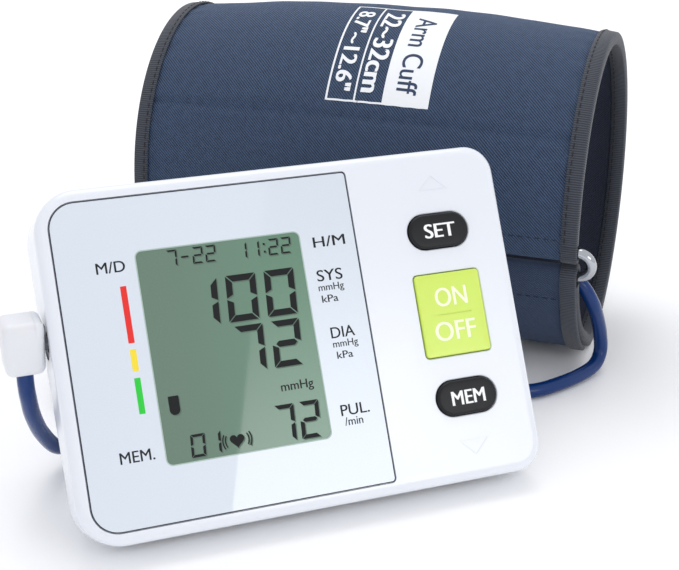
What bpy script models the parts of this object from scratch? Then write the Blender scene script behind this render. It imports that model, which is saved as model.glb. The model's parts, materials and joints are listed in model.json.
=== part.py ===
"""Upper arm blood pressure monitor: a leaning desk unit with its cuff, air hose and plug.

All sizes are in millimetres and are turned into metres where a mesh is made.
+X is the unit's right, +Y its back, +Z up, and z = 0 is the table.
The sloping front is built in its own frame: x across the face, s up the face and
d in through it, so a point of the face is (x, s, -d) under the face empty.
The cuff has a frame too: x along the sleeve, y away from the unit, z up.
"""
import bpy
import bmesh
from math import cos, pi, radians, sin
from mathutils import Matrix, Vector

MM = 0.001
GAP = 0.3                       # clearance between pieces that touch
BEYOND = 3.0                    # how far a cutter runs past the face that it opens

# ---- placement on the table --------------------------------------------------
CENTRE_X, CENTRE_Y = 50.9, 119.5   # middle of the footprint, which becomes the origin

# ---- sloping front -----------------------------------------------------------
TILT = radians(61.8)            # face angle above the table
LIFT = 7.6                      # height of the face's bottom edge
FACE_HALF = 72.5
FACE_H = 103.2
CORNERS = (13.3, 9.0, 9.0, 13.3)    # bottom left, bottom right, top right, top left
EDGE_R = 3.0
WALL = 2.5
TRIM = 1.0                      # each shell is made this much too long and cut back
PART_LOW, PART_HIGH = 11.8, 22.9    # depth of the front shell at its bottom and its top

WINDOW = (-68.7, 23.0, 3.7, 99.4)   # x0, x1, s0, s1
WINDOW_R = (8.2, 1.5, 1.5, 8.2)
WINDOW_T = 1.1
LCD = (-45.0, 5.1, 20.2, 82.7)
LCD_BORDER = 3.0
BOARD = (-54.0, 69.0, 17.0, 84.5)
BOARD_D, BOARD_T = 9.0, 1.6

BUTTON_X = 50.0
SET_S, POWER_S, MEMORY_S = 77.5, 51.5, 25.6
PILL_W, PILL_H = 19.8, 10.7
POWER_W, POWER_H, POWER_R = 21.5, 25.5, 1.1
PILL_PROUD, POWER_PROUD = 1.0, 0.6
KEY_ROUND = 0.7
FLANGE_OUT, FLANGE_T = 1.1, 1.3     # the rim that keeps a key behind the face
STEM_R, STEM_END = 2.4, 5.1
TRAVEL = 0.8

# ---- rear shell and base -----------------------------------------------------
BASE_Z = 2.0                    # underside of the base
REAR_LOW = (67.0, BASE_Z)       # y, z of the rear wall's foot
REAR_HIGH = (71.5, 84.0)        # y, z of the rear wall's head
REAR_INSET_LOW, REAR_INSET_HIGH = 10.0, 3.5
REAR_WALL = 2.2
REAR_ROUND = ((4.0, 0.0), (1.2, 1.2), (0.0, 4.0))   # inset and forward move of the rear's edge
BOSSES = ((-58.0, 91.5), (58.0, 91.5), (-61.0, 11.5), (61.0, 11.5))
BOSS_R, BOSS_PILOT_R = 3.8, 1.6
BOSS_SHORT = 1.0                # a front boss ends this far before the parting line
POST_ROOT = 1.2                 # posts grow from inside the face's wall
POST_R, POST_PILOT_R = 2.2, 1.3
SCREW_BORE_R, SINK_R, SINK_START = 1.7, 3.1, 2.2
BOARD_POSTS = ((-51.0, 20.0), (-51.0, 81.5), (66.0, 20.0), (66.0, 81.5))
FEET = ((-46.0, 16.5), (46.0, 16.5), (-46.0, 59.6), (46.0, 59.6))
FOOT_R, FOOT_SUNK = 3.2, 0.4

# ---- batteries ---------------------------------------------------------------
CELL_R, CELL_L = 7.2, 50.5
CELL_ROWS_Y = (31.6, 46.8)
CELL_Z = 12.2
BAY = (-54.0, 54.0, 23.0, 55.4)     # x0, x1, y0, y1 inside the tray
TRAY_TOP = 20.6
TRAY_WALL = 1.3
DOOR_T = 2.0
DOOR_PIVOT = (24.3, BASE_Z + DOOR_T / 2)

# ---- air parts ---------------------------------------------------------------
SOCKET_Y, SOCKET_Z = 37.8, 56.6     # axis of the socket, which runs along x
SOCKET_R, BORE_R = 5.0, 3.2
NOZZLE_R = 2.2
PLUG_X0, PLUG_X1 = -85.4, -73.2
PLUG_Z0, PLUG_Z1 = 48.8, 65.2
PLUG_HALF = 6.0
SEAL_X, SEAL_R, SEAL_WIRE_R = -67.0, 2.72, 0.38
TEE_X = -53.0
PUMP_Y, PUMP_Z = 48.0, 37.0
PUMP_X = -12.0                  # motor end of the pump
PUMP_HEAD_R = 13.4
VALVE_X, VALVE_Y, VALVE_Z = -52.0, 46.0, 36.0
AIR_LINE_R = 2.0

# ---- hose --------------------------------------------------------------------
HOSE_R = 2.5
COIL_X, COIL_Y = -28.0, 112.0
COIL_MID_R = 28.0
COIL_TURNS_H = 2 * 5.3 + 2 * HOSE_R     # two turns lying on each other
CUFF_ROUTE = ((111.7, 72.3, 40.2), (115.0, 69.2, 39.6), (119.2, 65.2, 37.0), (123.4, 64.0, 30.0),
              (127.7, 67.0, 22.0), (130.9, 69.6, 14.0), (131.6, 69.9, 7.6), (128.4, 67.6, 3.8),
              (121.9, 64.2, 2.8), (111.3, 60.0, 2.8), (98.0, 57.5, 2.8), (84.0, 62.0, 2.8),
              (66.0, 72.0, 2.8), (46.0, 78.5, 2.8), (26.0, 82.0, 2.8), (7.6, 85.6, 2.8),
              (-7.4, 85.6, 2.8))
PLUG_ROUTE = ((-79.3, 37.8, 48.4), (-79.2, 38.3, 44.0), (-78.6, 40.6, 38.5), (-77.0, 46.2, 29.5),
              (-73.6, 54.6, 18.8), (-68.0, 63.0, 9.0), (-60.0, 69.6, 6.6), (-50.4, 77.6, 9.0),
              (-49.0, 83.4, 12.0))

# ---- cuff --------------------------------------------------------------------
CUFF_X, CUFF_Y, CUFF_TURN = 77.7, 145.5, radians(-39.7)
CUFF_A, CUFF_B = 50.1, 58.6     # half width and half height of the sleeve
CUFF_Z = CUFF_B + 0.9
CUFF_HALF = 82.2
CUFF_BULGE = 0.092              # extra radius halfway along, over the upper half
HEM_ANGLE, TAIL_ANGLE = 187.0, 196.8    # the two bars of the loop
WRAP_START, WRAP_END = 182.9, -159.0    # the wrap's own ends
WRAP_STEPS = 34
TAIL_START, TAIL_END = 201.2, 247.0
LAP_SHIFT = 3.2                 # the wrap lies this far in where the tail covers it
RING_WIRE_R = 1.9
RING_INSET = 3.6
RING_OUT = 0.8                  # straight bars run this far past the sleeve
TAPE_W, TAPE_T = 5.0, 0.8       # width and thickness of the folded tape round each end
HEM_ROLL, TAIL_ROLL = (3.1, 2.25), (3.9, 3.05)      # outer and inner radius
ROLL_OUT = 0.6
PORT_LOW, PORT_HIGH = (58.0, -36.2, 37.0), (72.4, -31.8, 43.4)


# ---- helpers -----------------------------------------------------------------
def clear_scene():
    for old in list(bpy.data.objects):
        bpy.data.objects.remove(old, do_unlink=True)


def make_collection(name):
    collection = bpy.data.collections.new(name)
    bpy.context.scene.collection.children.link(collection)
    return collection


def material(name, colour, roughness=0.45, metallic=0.0):
    """A Principled material; colour is a hex string."""
    found = bpy.data.materials.get(name)
    if found:
        return found
    made = bpy.data.materials.new(name)
    made.use_nodes = True
    shader = made.node_tree.nodes["Principled BSDF"]
    parts = [int(colour[i:i + 2], 16) / 255 for i in (0, 2, 4)]
    linear = [p / 12.92 if p <= 0.04045 else ((p + 0.055) / 1.055) ** 2.4 for p in parts]
    shader.inputs["Base Color"].default_value = (*linear, 1)
    shader.inputs["Roughness"].default_value = roughness
    shader.inputs["Metallic"].default_value = metallic
    made.diffuse_color = (*linear, 1)
    return made


def empty(name, location=(0, 0, 0), rotation=(0, 0, 0), parent=None):
    made = bpy.data.objects.new(name, None)
    made.location = Vector(location) * MM
    made.rotation_euler = rotation
    made.parent = parent
    parts_collection.objects.link(made)
    return made


def add_object(name, mesh, look, parent, cutter=False):
    made = bpy.data.objects.new(name, mesh)
    made.parent = parent
    if cutter:
        cutters_collection.objects.link(made)
        made.hide_render = True
        made.display_type = "WIRE"
        return made
    parts_collection.objects.link(made)
    mesh.materials.append(look)
    return made


def finish_mesh(name, builder):
    """Turn a bmesh in millimetres into a mesh in metres with its faces pointing out."""
    bmesh.ops.recalc_face_normals(builder, faces=builder.faces)
    bmesh.ops.scale(builder, vec=(MM, MM, MM), verts=builder.verts)
    mesh = bpy.data.meshes.new(name)
    builder.to_mesh(mesh)
    builder.free()
    mesh.shade_smooth()
    mesh.set_sharp_from_angle(angle=radians(35))
    return mesh


def loft(name, sections, look, parent, caps=(True, True), cutter=False, ring=False):
    """Skin over closed outlines that have the same number of points."""
    builder = bmesh.new()
    rows = [[builder.verts.new(point) for point in outline] for outline in sections]
    pairs = list(zip(rows, rows[1:]))
    if ring:
        pairs.append((rows[-1], rows[0]))
    for low, high in pairs:
        for i in range(len(low)):
            j = (i + 1) % len(low)
            builder.faces.new((low[i], low[j], high[j], high[i]))
    if caps[0] and not ring:
        builder.faces.new(rows[0])
    if caps[1] and not ring:
        builder.faces.new(rows[-1])
    return add_object(name, finish_mesh(name, builder), look, parent, cutter)


def box(name, low, high, look, parent, bevel=0.0, cutter=False):
    """A box between two corners."""
    low, high = Vector(low), Vector(high)
    builder = bmesh.new()
    bmesh.ops.create_cube(builder, size=1.0)
    bmesh.ops.scale(builder, vec=high - low, verts=builder.verts)
    bmesh.ops.translate(builder, vec=(high + low) / 2, verts=builder.verts)
    made = add_object(name, finish_mesh(name, builder), look, parent, cutter)
    if bevel:
        add_bevel(made, bevel)
    return made


def cylinder(name, start, end, radius, look, parent, end_radius=None, sides=32, cutter=False):
    """A cylinder or cone between two points."""
    start, end = Vector(start), Vector(end)
    builder = bmesh.new()
    bmesh.ops.create_cone(builder, cap_ends=True, segments=sides, radius1=radius,
                          radius2=radius if end_radius is None else end_radius,
                          depth=(end - start).length)
    turn = (end - start).to_track_quat("Z", "Y").to_matrix().to_4x4()
    place = Matrix.Translation((start + end) / 2) @ turn
    bmesh.ops.transform(builder, matrix=place, verts=builder.verts)
    return add_object(name, finish_mesh(name, builder), look, parent, cutter)


def add_bevel(target, width, segments=2):
    bevel = target.modifiers.new("rounded edges", "BEVEL")
    bevel.width = width * MM
    bevel.segments = segments
    bevel.limit_method = "ANGLE"
    bevel.angle_limit = radians(40)


def combine(target, tool, operation):
    """Cut a tool from a piece, or join the two."""
    boolean = target.modifiers.new(tool.name, "BOOLEAN")
    boolean.operation = operation
    boolean.solver = "EXACT"
    boolean.object = tool


def cut(target, tool):
    combine(target, tool, "DIFFERENCE")


def join(target, tool):
    combine(target, tool, "UNION")


def smooth_route(points, spacing):
    """Evenly spaced points on a smooth curve through the route's own points."""
    points = [Vector(p) for p in points]
    ends = [points[0] * 2 - points[1]] + points + [points[-1] * 2 - points[-2]]
    dense = []
    for a, b, c, d in zip(ends, ends[1:], ends[2:], ends[3:]):
        for k in range(20):
            u = k / 20
            dense.append(0.5 * (2 * b + (c - a) * u + (2 * a - 5 * b + 4 * c - d) * u ** 2
                                + (3 * b - a - 3 * c + d) * u ** 3))
    dense.append(points[-1])
    length = sum((q - p).length for p, q in zip(dense, dense[1:]))
    step = length / max(2, round(length / spacing))
    even, travelled, target = [dense[0]], 0.0, step
    for p, q in zip(dense, dense[1:]):
        piece = (q - p).length
        while piece and travelled + piece >= target and len(even) < round(length / step):
            even.append(p.lerp(q, (target - travelled) / piece))
            target += step
        travelled += piece
    even.append(dense[-1])
    return even


def wire(name, points, radius, look, parent, resolution=3, cyclic=False):
    """A round wire or tube with filled ends."""
    curve = bpy.data.curves.new(name, "CURVE")
    curve.dimensions = "3D"
    curve.bevel_depth = radius * MM
    curve.bevel_resolution = resolution
    curve.use_fill_caps = not cyclic
    spline = curve.splines.new("POLY")
    spline.points.add(len(points) - 1)
    for slot, point in zip(spline.points, points):
        slot.co = (*(Vector(point) * MM), 1)
    spline.use_cyclic_u = cyclic
    curve.materials.append(look)
    made = bpy.data.objects.new(name, curve)
    made.parent = parent
    parts_collection.objects.link(made)
    return made


def outline(x0, x1, y0, y1, radii, steps=6):
    """A rectangle with round corners: bottom left, bottom right, top right, top left."""
    centres = ((x0 + radii[0], y0 + radii[0]), (x1 - radii[1], y0 + radii[1]),
               (x1 - radii[2], y1 - radii[2]), (x0 + radii[3], y1 - radii[3]))
    points = []
    for corner, ((cx, cy), radius) in enumerate(zip(centres, radii)):
        for k in range(steps + 1):
            angle = pi + corner * pi / 2 + k * pi / 2 / steps
            points.append((cx + radius * cos(angle), cy + radius * sin(angle)))
    return points


def slab_on_face(name, area, radii, depth0, depth1, look, cutter=False, round_front=0.0):
    """A plate parallel to the face, from depth0 in to depth1."""
    sections = []
    steps = 3 if round_front else 0
    for k in range(steps):
        angle = k * pi / 2 / steps
        inset = round_front * (1 - sin(angle))
        depth = depth0 + round_front * (1 - cos(angle))
        sections.append(face_section(area, radii, inset, depth))
    sections.append(face_section(area, radii, 0.0, depth0 + round_front))
    sections.append(face_section(area, radii, 0.0, depth1))
    return loft(name, sections, look, face_frame, cutter=cutter)


def face_section(area, radii, inset, depth):
    x0, x1, s0, s1 = area
    small = [max(0.05, r - inset) for r in radii]
    points = outline(x0 + inset, x1 - inset, s0 + inset, s1 - inset, small)
    return [(x, s, -depth) for x, s in points]


def grow(area, by):
    x0, x1, s0, s1 = area
    return (x0 - by, x1 + by, s0 - by, s1 + by)


def parting_depth(s):
    return PART_LOW + (PART_HIGH - PART_LOW) * s / FACE_H


def to_face(y, z):
    """Table y and z as s and d in the face frame."""
    return (y * cos(TILT) + (z - LIFT) * sin(TILT), y * sin(TILT) - (z - LIFT) * cos(TILT))


def parting_block(name, near, far):
    """A cutter with one side along the plane where the shells meet, offset from it by near."""
    sections = []
    for offset in (near, near + far):
        corners = ((-90, -30), (90, -30), (90, 140), (-90, 140))
        sections.append([(x, s, -parting_depth(s) - offset) for x, s in corners])
    return loft(name, sections, WHITE, face_frame, cutter=True)


def rear_depth(s):
    """Depth of the rear wall's outer face straight behind a point of the face."""
    head, foot = to_face(*REAR_HIGH), to_face(*REAR_LOW)
    return foot[1] + (head[1] - foot[1]) * (s - foot[0]) / (head[0] - foot[0])


# ---- housings ----------------------------------------------------------------
def front_housing():
    sections = []
    for k in range(5):
        angle = k * pi / 8
        inset, depth = EDGE_R * (1 - sin(angle)), EDGE_R * (1 - cos(angle))
        sections.append(face_section((-FACE_HALF, FACE_HALF, 0.0, FACE_H), CORNERS, inset, depth))
    rim = outline(-FACE_HALF, FACE_HALF, 0.0, FACE_H, CORNERS)
    sections.append([(x, s, -parting_depth(s) - TRIM) for x, s in rim])
    shell = loft("front_housing", sections, WHITE, face_frame, caps=(True, False))
    thicken(shell, WALL)
    cut(shell, parting_block("behind_parting", -GAP / 2, 60.0))
    for index, (x, s) in enumerate(BOSSES):
        end = parting_depth(s) - BOSS_SHORT
        post = cylinder(f"front_boss_{index}", (x, s, -POST_ROOT), (x, s, -end), BOSS_R, WHITE,
                        face_frame, sides=20, cutter=True)
        join(shell, post)
        pilot = cylinder(f"front_pilot_{index}", (x, s, -5.0), (x, s, -end - 1), BOSS_PILOT_R, WHITE,
                         face_frame, sides=16, cutter=True)
        cut(shell, pilot)
    for index, (x, s) in enumerate(BOARD_POSTS):
        post = cylinder(f"board_post_{index}", (x, s, -POST_ROOT), (x, s, GAP - BOARD_D), POST_R,
                        WHITE, face_frame, sides=16, cutter=True)
        join(shell, post)
        pilot = cylinder(f"board_pilot_{index}", (x, s, -3.4), (x, s, -BOARD_D - 1), POST_PILOT_R,
                         WHITE, face_frame, sides=12, cutter=True)
        cut(shell, pilot)
    cut(shell, slab_on_face("window_recess", WINDOW, WINDOW_R, -BEYOND, WINDOW_T + GAP, WHITE, True))
    cut(shell, slab_on_face("display_aperture", grow(LCD, 1.2), (2.5,) * 4, -BEYOND, WALL + 2, WHITE,
                            True))
    for name, area, radii in button_areas():
        cut(shell, slab_on_face(f"{name}_aperture", grow(area, GAP), [r + GAP for r in radii],
                                -BEYOND, WALL + 2, WHITE, True))
    hole = cylinder("socket_hole", (-FACE_HALF - 5, SOCKET_Y, SOCKET_Z),
                    (-FACE_HALF + 8, SOCKET_Y, SOCKET_Z), SOCKET_R + GAP, WHITE, place, cutter=True)
    cut(shell, hole)
    return shell


def thicken(shell, thickness):
    solid = shell.modifiers.new("wall", "SOLIDIFY")
    solid.thickness = thickness * MM
    solid.offset = -1
    solid.use_even_offset = True


def button_areas():
    pill = (PILL_H / 2 - 0.01,) * 4
    return (("set_button", button_area(SET_S, PILL_W, PILL_H), pill),
            ("power_button", button_area(POWER_S, POWER_W, POWER_H), (POWER_R,) * 4),
            ("memory_button", button_area(MEMORY_S, PILL_W, PILL_H), pill))


def button_area(s, width, height):
    return (BUTTON_X - width / 2, BUTTON_X + width / 2, s - height / 2, s + height / 2)


def rear_sections():
    """The rear shell's outlines, from its flat back to past the parting line."""
    head, foot = to_face(*REAR_HIGH), to_face(*REAR_LOW)
    middle_s, middle_d = (foot[0] + head[0]) / 2, (foot[1] + head[1]) / 2
    sections = []
    for inset, forward in REAR_ROUND:
        squeeze = 1 - 2 * inset / FACE_H
        section = []
        for x, up in outline(-FACE_HALF, FACE_HALF, 0.0, FACE_H, CORNERS):
            part = up / FACE_H
            side = REAR_INSET_LOW + (REAR_INSET_HIGH - REAR_INSET_LOW) * part
            s = foot[0] + (head[0] - foot[0]) * part
            d = foot[1] + (head[1] - foot[1]) * part
            s, d = middle_s + (s - middle_s) * squeeze, middle_d + (d - middle_d) * squeeze
            section.append(move_forward(x * (FACE_HALF - side - inset) / FACE_HALF, s, d, forward))
        sections.append(section)
    rim = outline(-FACE_HALF, FACE_HALF, 0.0, FACE_H, CORNERS)
    sections.append([(x, s, TRIM - parting_depth(s)) for x, s in rim])
    return sections


def move_forward(x, s, d, distance):
    """A point of the rear wall moved towards the front, level with the table."""
    return (x, s - distance * cos(TILT), -(d - distance * sin(TILT)))


def rear_housing():
    shell = loft("rear_housing", rear_sections(), GREY_WHITE, face_frame, caps=(True, False))
    thicken(shell, REAR_WALL)
    cut(shell, parting_block("before_parting", GAP / 2, -60.0))
    flat = box("base_trim", (-90, -5, -20), (90, 90, BASE_Z), WHITE, place, cutter=True)
    cut(shell, flat)
    opening = box("battery_opening", (BAY[0], DOOR_PIVOT[0] - 1.5, BASE_Z - 3),
                  (BAY[1], BAY[3], BASE_Z + 3.5), WHITE, place, cutter=True)
    cut(shell, opening)
    for index, (x, y) in enumerate(FEET):
        pad = cylinder(f"foot_recess_{index}", (x, y, BASE_Z - 1), (x, y, BASE_Z + FOOT_SUNK + GAP),
                       FOOT_R + GAP, WHITE, place, sides=24, cutter=True)
        cut(shell, pad)
    for index, (x, s) in enumerate(BOSSES[:2]):
        start = parting_depth(s) - BOSS_SHORT + GAP
        column = cylinder(f"rear_boss_{index}", (x, s, -start), (x, s, 1.9 - rear_depth(s)), BOSS_R,
                          WHITE, face_frame, sides=20, cutter=True)
        join(shell, column)
        bore = cylinder(f"rear_bore_{index}", (x, s, -start + 1), (x, s, -start - 12), SCREW_BORE_R,
                        WHITE, face_frame, sides=16, cutter=True)
        cut(shell, bore)
        sink = cylinder(f"rear_sink_{index}", (x, s, -start - SINK_START), (x, s, -start - 12), SINK_R,
                        WHITE, face_frame, sides=20, cutter=True)
        cut(shell, sink)


def screws():
    for index, (x, s) in enumerate(BOSSES[:2]):
        head_d = parting_depth(s) - BOSS_SHORT + GAP + SINK_START
        screw = cylinder(f"case_screw_{index + 1}", (x, s, -head_d - GAP), (x, s, -head_d - 2.0), 2.7,
                         STEEL, face_frame, sides=20)
        shank = cylinder(f"case_shank_{index}", (x, s, -head_d - 1.0), (x, s, -6.5), 1.3, STEEL,
                         face_frame, sides=12, cutter=True)
        join(screw, shank)
        cross = box(f"case_cross_{index}", (x - 1.6, s - 0.3, -head_d - 3), (x + 1.6, s + 0.3,
                    -head_d - 1.3), STEEL, face_frame, cutter=True)
        cut(screw, cross)
    for index, (x, s) in enumerate(BOARD_POSTS):
        head = BOARD_D + BOARD_T + GAP
        screw = cylinder(f"board_screw_{index + 1}", (x, s, -head), (x, s, -head - 1.4), 2.1, STEEL,
                         face_frame, sides=16)
        shank = cylinder(f"board_shank_{index}", (x, s, -head - 0.5), (x, s, -4.2), 1.0, STEEL,
                         face_frame, sides=12, cutter=True)
        join(screw, shank)


def feet():
    for index, (x, y) in enumerate(FEET):
        foot = cylinder(f"foot_{index + 1}", (x, y, 0.0), (x, y, BASE_Z + FOOT_SUNK), FOOT_R, RUBBER,
                        place, sides=24)
        add_bevel(foot, 0.4)


# ---- display, buttons and electronics ----------------------------------------
def display():
    slab_on_face("display_window", grow(WINDOW, -GAP), [r - GAP for r in WINDOW_R], 0.0, WINDOW_T,
                 PANEL)
    slab_on_face("lcd_module", grow(LCD, LCD_BORDER), (1.0,) * 4, WALL + GAP, WALL + GAP + 2.6,
                 LCD_GLASS)
    holder = slab_on_face("lcd_holder", grow(LCD, LCD_BORDER), (1.0,) * 4, WALL + 3.2,
                          BOARD_D - GAP, GREY_WHITE)
    x0, x1, s0, s1 = LCD
    slot = slab_on_face("strip_slot", (x0 + 1, x1 - 1, s0 + 1, s0 + 4.6), (0.3,) * 4, 2.0,
                        BOARD_D + 1, WHITE, True)
    cut(holder, slot)
    slab_on_face("lcd_contact_strip", (x0 + 1.3, x1 - 1.3, s0 + 1.3, s0 + 4.3), (0.3,) * 4,
                 WALL + 3.2, BOARD_D - GAP, RUBBER)


def buttons():
    looks = {"set_button": BLACK, "power_button": LIME, "memory_button": BLACK}
    for name, area, radii in button_areas():
        proud = POWER_PROUD if name == "power_button" else PILL_PROUD
        cap = slab_on_face(name, area, radii, -proud, WALL + 2.0, looks[name],
                           round_front=KEY_ROUND)
        flange = slab_on_face(f"{name}_flange", grow(area, FLANGE_OUT), [r + FLANGE_OUT for r in radii],
                              WALL + 0.4, WALL + 0.4 + FLANGE_T, looks[name], True)
        join(cap, flange)
        s = (area[2] + area[3]) / 2
        stem = cylinder(f"{name}_stem", (BUTTON_X, s, -WALL), (BUTTON_X, s, -STEM_END), STEM_R,
                        looks[name], face_frame, sides=20, cutter=True)
        join(cap, stem)
        switch = box(name.replace("button", "switch"), (BUTTON_X - 3, s - 3, GAP - BOARD_D),
                     (BUTTON_X + 3, s + 3, -STEM_END - TRAVEL - 0.2), BLACK, face_frame)
        add_bevel(switch, 0.3)


def electronics():
    board = slab_on_face("main_board", BOARD, (1.5,) * 4, BOARD_D, BOARD_D + BOARD_T, BOARD_GREEN)
    for index, (x, s) in enumerate(BOARD_POSTS):
        hole = cylinder(f"board_hole_{index}", (x, s, -BOARD_D + 1), (x, s, -BOARD_D - 3), 1.5, WHITE,
                        face_frame, sides=16, cutter=True)
        cut(board, hole)
    notch = slab_on_face("board_notch", (BOARD[0] - 3, BOARD[0] + 5.4, 50.0, 69.0), (1.0,) * 4,
                         BOARD_D - 3, BOARD_D + 5, WHITE, True)
    cut(board, notch)
    back = BOARD_D + BOARD_T + GAP
    box("microcontroller", (14, 40, -back - 1.5), (24, 50, -back), BLACK, face_frame, bevel=0.2)
    cylinder("buzzer", (40, 74, -back), (40, 74, -back - 3.2), 6.0, BLACK, face_frame)
    sensor = box("pressure_sensor", (-36, 68, -back - 5), (-26, 78, -back), GREY_WHITE, face_frame,
                 bevel=0.4)
    port = cylinder("sensor_port", (-31, 73, -back - 4), (-31, 73, -back - 9), 1.5, GREY_WHITE,
                    face_frame, sides=16, cutter=True)
    join(sensor, port)


# ---- batteries ---------------------------------------------------------------
def batteries():
    x0, x1, y0, y1 = BAY
    tray = box("battery_tray", (x0 - TRAY_WALL, y0 - TRAY_WALL, BASE_Z + REAR_WALL + 1.2),
               (x1 + TRAY_WALL, y1 + TRAY_WALL, TRAY_TOP + TRAY_WALL), GREY_WHITE, place)
    inside = box("tray_hollow", (x0, y0, BASE_Z), (x1, y1, TRAY_TOP), WHITE, place, cutter=True)
    cut(tray, inside)
    places = [(side, y) for y in CELL_ROWS_Y for side in (-1, 1)]
    for number, (side, y) in enumerate(places, 1):
        near, far = side * 0.7, side * (CELL_L - 0.7)
        cell = cylinder(f"battery_{number}", (near, y, CELL_Z), (far, y, CELL_Z), CELL_R, CELL_SKIN,
                        place)
        nub = cylinder(f"battery_nub_{number}", (far - side, y, CELL_Z), (far + side * 1.2, y, CELL_Z),
                       2.7, STEEL, place, sides=20, cutter=True)
        join(cell, nub)
    for side, name in ((-1, "left"), (1, "right")):
        flat = sorted((side * (x1 - 0.4), side * (x1 - 1.0)))
        box(f"battery_contact_{name}", (flat[0], y0 + 1.6, 6.0), (flat[1], y1 - 1.6, 18.4), STEEL,
            place, bevel=0.15)


def battery_door():
    pivot_y, pivot_z = DOOR_PIVOT
    hinge = empty("battery_door_pivot", (0, pivot_y, pivot_z), parent=place)
    radius = DOOR_T / 2
    end = BAY[3] - GAP - pivot_y
    profile = [(-radius * sin(a), radius * cos(a)) for a in [k * pi / 8 for k in range(9)]]
    profile += [(end, -radius), (end, radius)]
    half = BAY[1] - GAP
    door = loft("battery_door", [[(x, y, z) for y, z in profile] for x in (-half, half)], GREY_WHITE,
                hinge)
    tab = box("door_latch", (-6, end - 2.6, radius - 0.4), (6, end - 1.0, radius + 1.6), GREY_WHITE,
              hinge, cutter=True)
    join(door, tab)


# ---- pump, valve and air lines -----------------------------------------------
def pump():
    x, y, z = PUMP_X, PUMP_Y, PUMP_Z
    motor = cylinder("pump_motor", (x, y, z), (x + 28, y, z), 11.8, STEEL, place)
    add_bevel(motor, 0.8)
    shaft_hole = cylinder("motor_bore", (x + 18, y, z), (x + 30, y, z), 1.5, WHITE, place, sides=16,
                          cutter=True)
    cut(motor, shaft_hole)
    head = cylinder("pump_head", (x + 28 + GAP, y, z), (x + 46, y, z), PUMP_HEAD_R, BLACK, place)
    cavity = cylinder("head_cavity", (x + 30.3, y, z), (x + 50, y, z), 11.6, WHITE, place, cutter=True)
    cut(head, cavity)
    neck = cylinder("head_bore", (x + 20, y, z), (x + 34, y, z), 1.6, WHITE, place, sides=16,
                    cutter=True)
    cut(head, neck)
    pivot = empty("pump_rotor_pivot", (x + 34, y, z), parent=place)
    rotor = cylinder("pump_rotor", (-2.4, 0, 0), (3.0, 0, 0), 8.5, STEEL, pivot)
    shaft = cylinder("rotor_shaft", (-13.0, 0, 0), (0, 0, 0), 1.0, STEEL, pivot, sides=16, cutter=True)
    join(rotor, shaft)
    pin = cylinder("rotor_pin", (2.0, 3.5, 0), (5.4, 3.5, 0), 1.4, STEEL, pivot, sides=16, cutter=True)
    join(rotor, pin)
    plate = cylinder("pump_diaphragm", (x + 41.2, y, z), (x + 43.4, y, z), 11.2, RUBBER, place)
    add_bevel(plate, 0.5)
    cap = cylinder("pump_cap", (x + 46 + GAP, y, z), (x + 50, y, z), PUMP_HEAD_R, BLACK, place)
    outlet = cylinder("pump_outlet", (x + 49, y, z + 5), (x + 56, y, z + 5), 1.8, BLACK, place,
                      sides=16, cutter=True)
    join(cap, outlet)


def valve():
    x, y, z = VALVE_X, VALVE_Y, VALVE_Z
    body = cylinder("exhaust_valve", (x, y, z), (x + 18, y, z), 7.5, STEEL, place)
    bore = cylinder("valve_bore", (x + 4, y, z), (x + 20, y, z), 4.0, WHITE, place, sides=24,
                    cutter=True)
    cut(body, bore)
    port = cylinder("valve_port", (x - 4.5, y, z), (x + 1, y, z), 1.6, STEEL, place, sides=16,
                    cutter=True)
    join(body, port)
    pivot = empty("valve_plunger_seat", (x + 8, y, z), parent=place)
    plunger = cylinder("valve_plunger", (0, 0, 0), (12, 0, 0), 2.6, STEEL, pivot, sides=24)
    head = cylinder("plunger_head", (11, 0, 0), (12.8, 0, 0), 3.6, STEEL, pivot, sides=24, cutter=True)
    join(plunger, head)


def air_lines():
    x0 = -FACE_HALF + 0.4
    y, z = SOCKET_Y, SOCKET_Z
    socket = cylinder("air_socket", (x0, y, z), (x0 + 13, y, z), SOCKET_R, SOCKET_GREY, place)
    bore = cylinder("socket_bore", (x0 - 1, y, z), (x0 + 11.5, y, z), BORE_R, WHITE, place,
                    cutter=True)
    cut(socket, bore)
    barb = cylinder("socket_barb", (x0 + 12, y, z), (x0 + 16, y, z), 1.7, SOCKET_GREY, place,
                    sides=16, cutter=True)
    join(socket, barb)
    tee = cylinder("air_manifold", (TEE_X - 2.6, y, z), (TEE_X + 2.6, y, z), 2.4, GREY_WHITE, place,
                   sides=20)
    for index, end in enumerate(((TEE_X, y + 9, z), (TEE_X, y + 1.0, z - 7))):
        leg = cylinder(f"manifold_leg_{index}", (TEE_X, y, z), end, 1.6, GREY_WHITE, place, sides=16,
                       cutter=True)
        join(tee, leg)
    out_x, out_z = PUMP_X + 56.4, PUMP_Z + 5
    pump_route = ((TEE_X, y + 9.5, z), (TEE_X, y + 12, z), (TEE_X + 1.5, y + 14.5, z + 0.5),
                  (-44, 53.5, 58), (-10, 53, 58), (34, 52.5, 58), (48, 51.5, 56), (54.5, 49.5, 50),
                  (52, PUMP_Y, out_z + 0.5), (out_x, PUMP_Y, out_z))
    valve_route = ((TEE_X, y + 1.1, z - 7.6), (TEE_X, y + 1.5, z - 10), (TEE_X - 1.5, y + 3, z - 13),
                   (VALVE_X - 9, VALVE_Y - 2, VALVE_Z + 5), (VALVE_X - 8.2, VALVE_Y, VALVE_Z),
                   (VALVE_X - 5.2, VALVE_Y, VALVE_Z))
    routes = (("tube_to_pump", pump_route), ("tube_to_valve", valve_route))
    for name, points in routes:
        wire(name, smooth_route(points, 4.0), AIR_LINE_R, TUBE_CLEAR, place, resolution=2)


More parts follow.
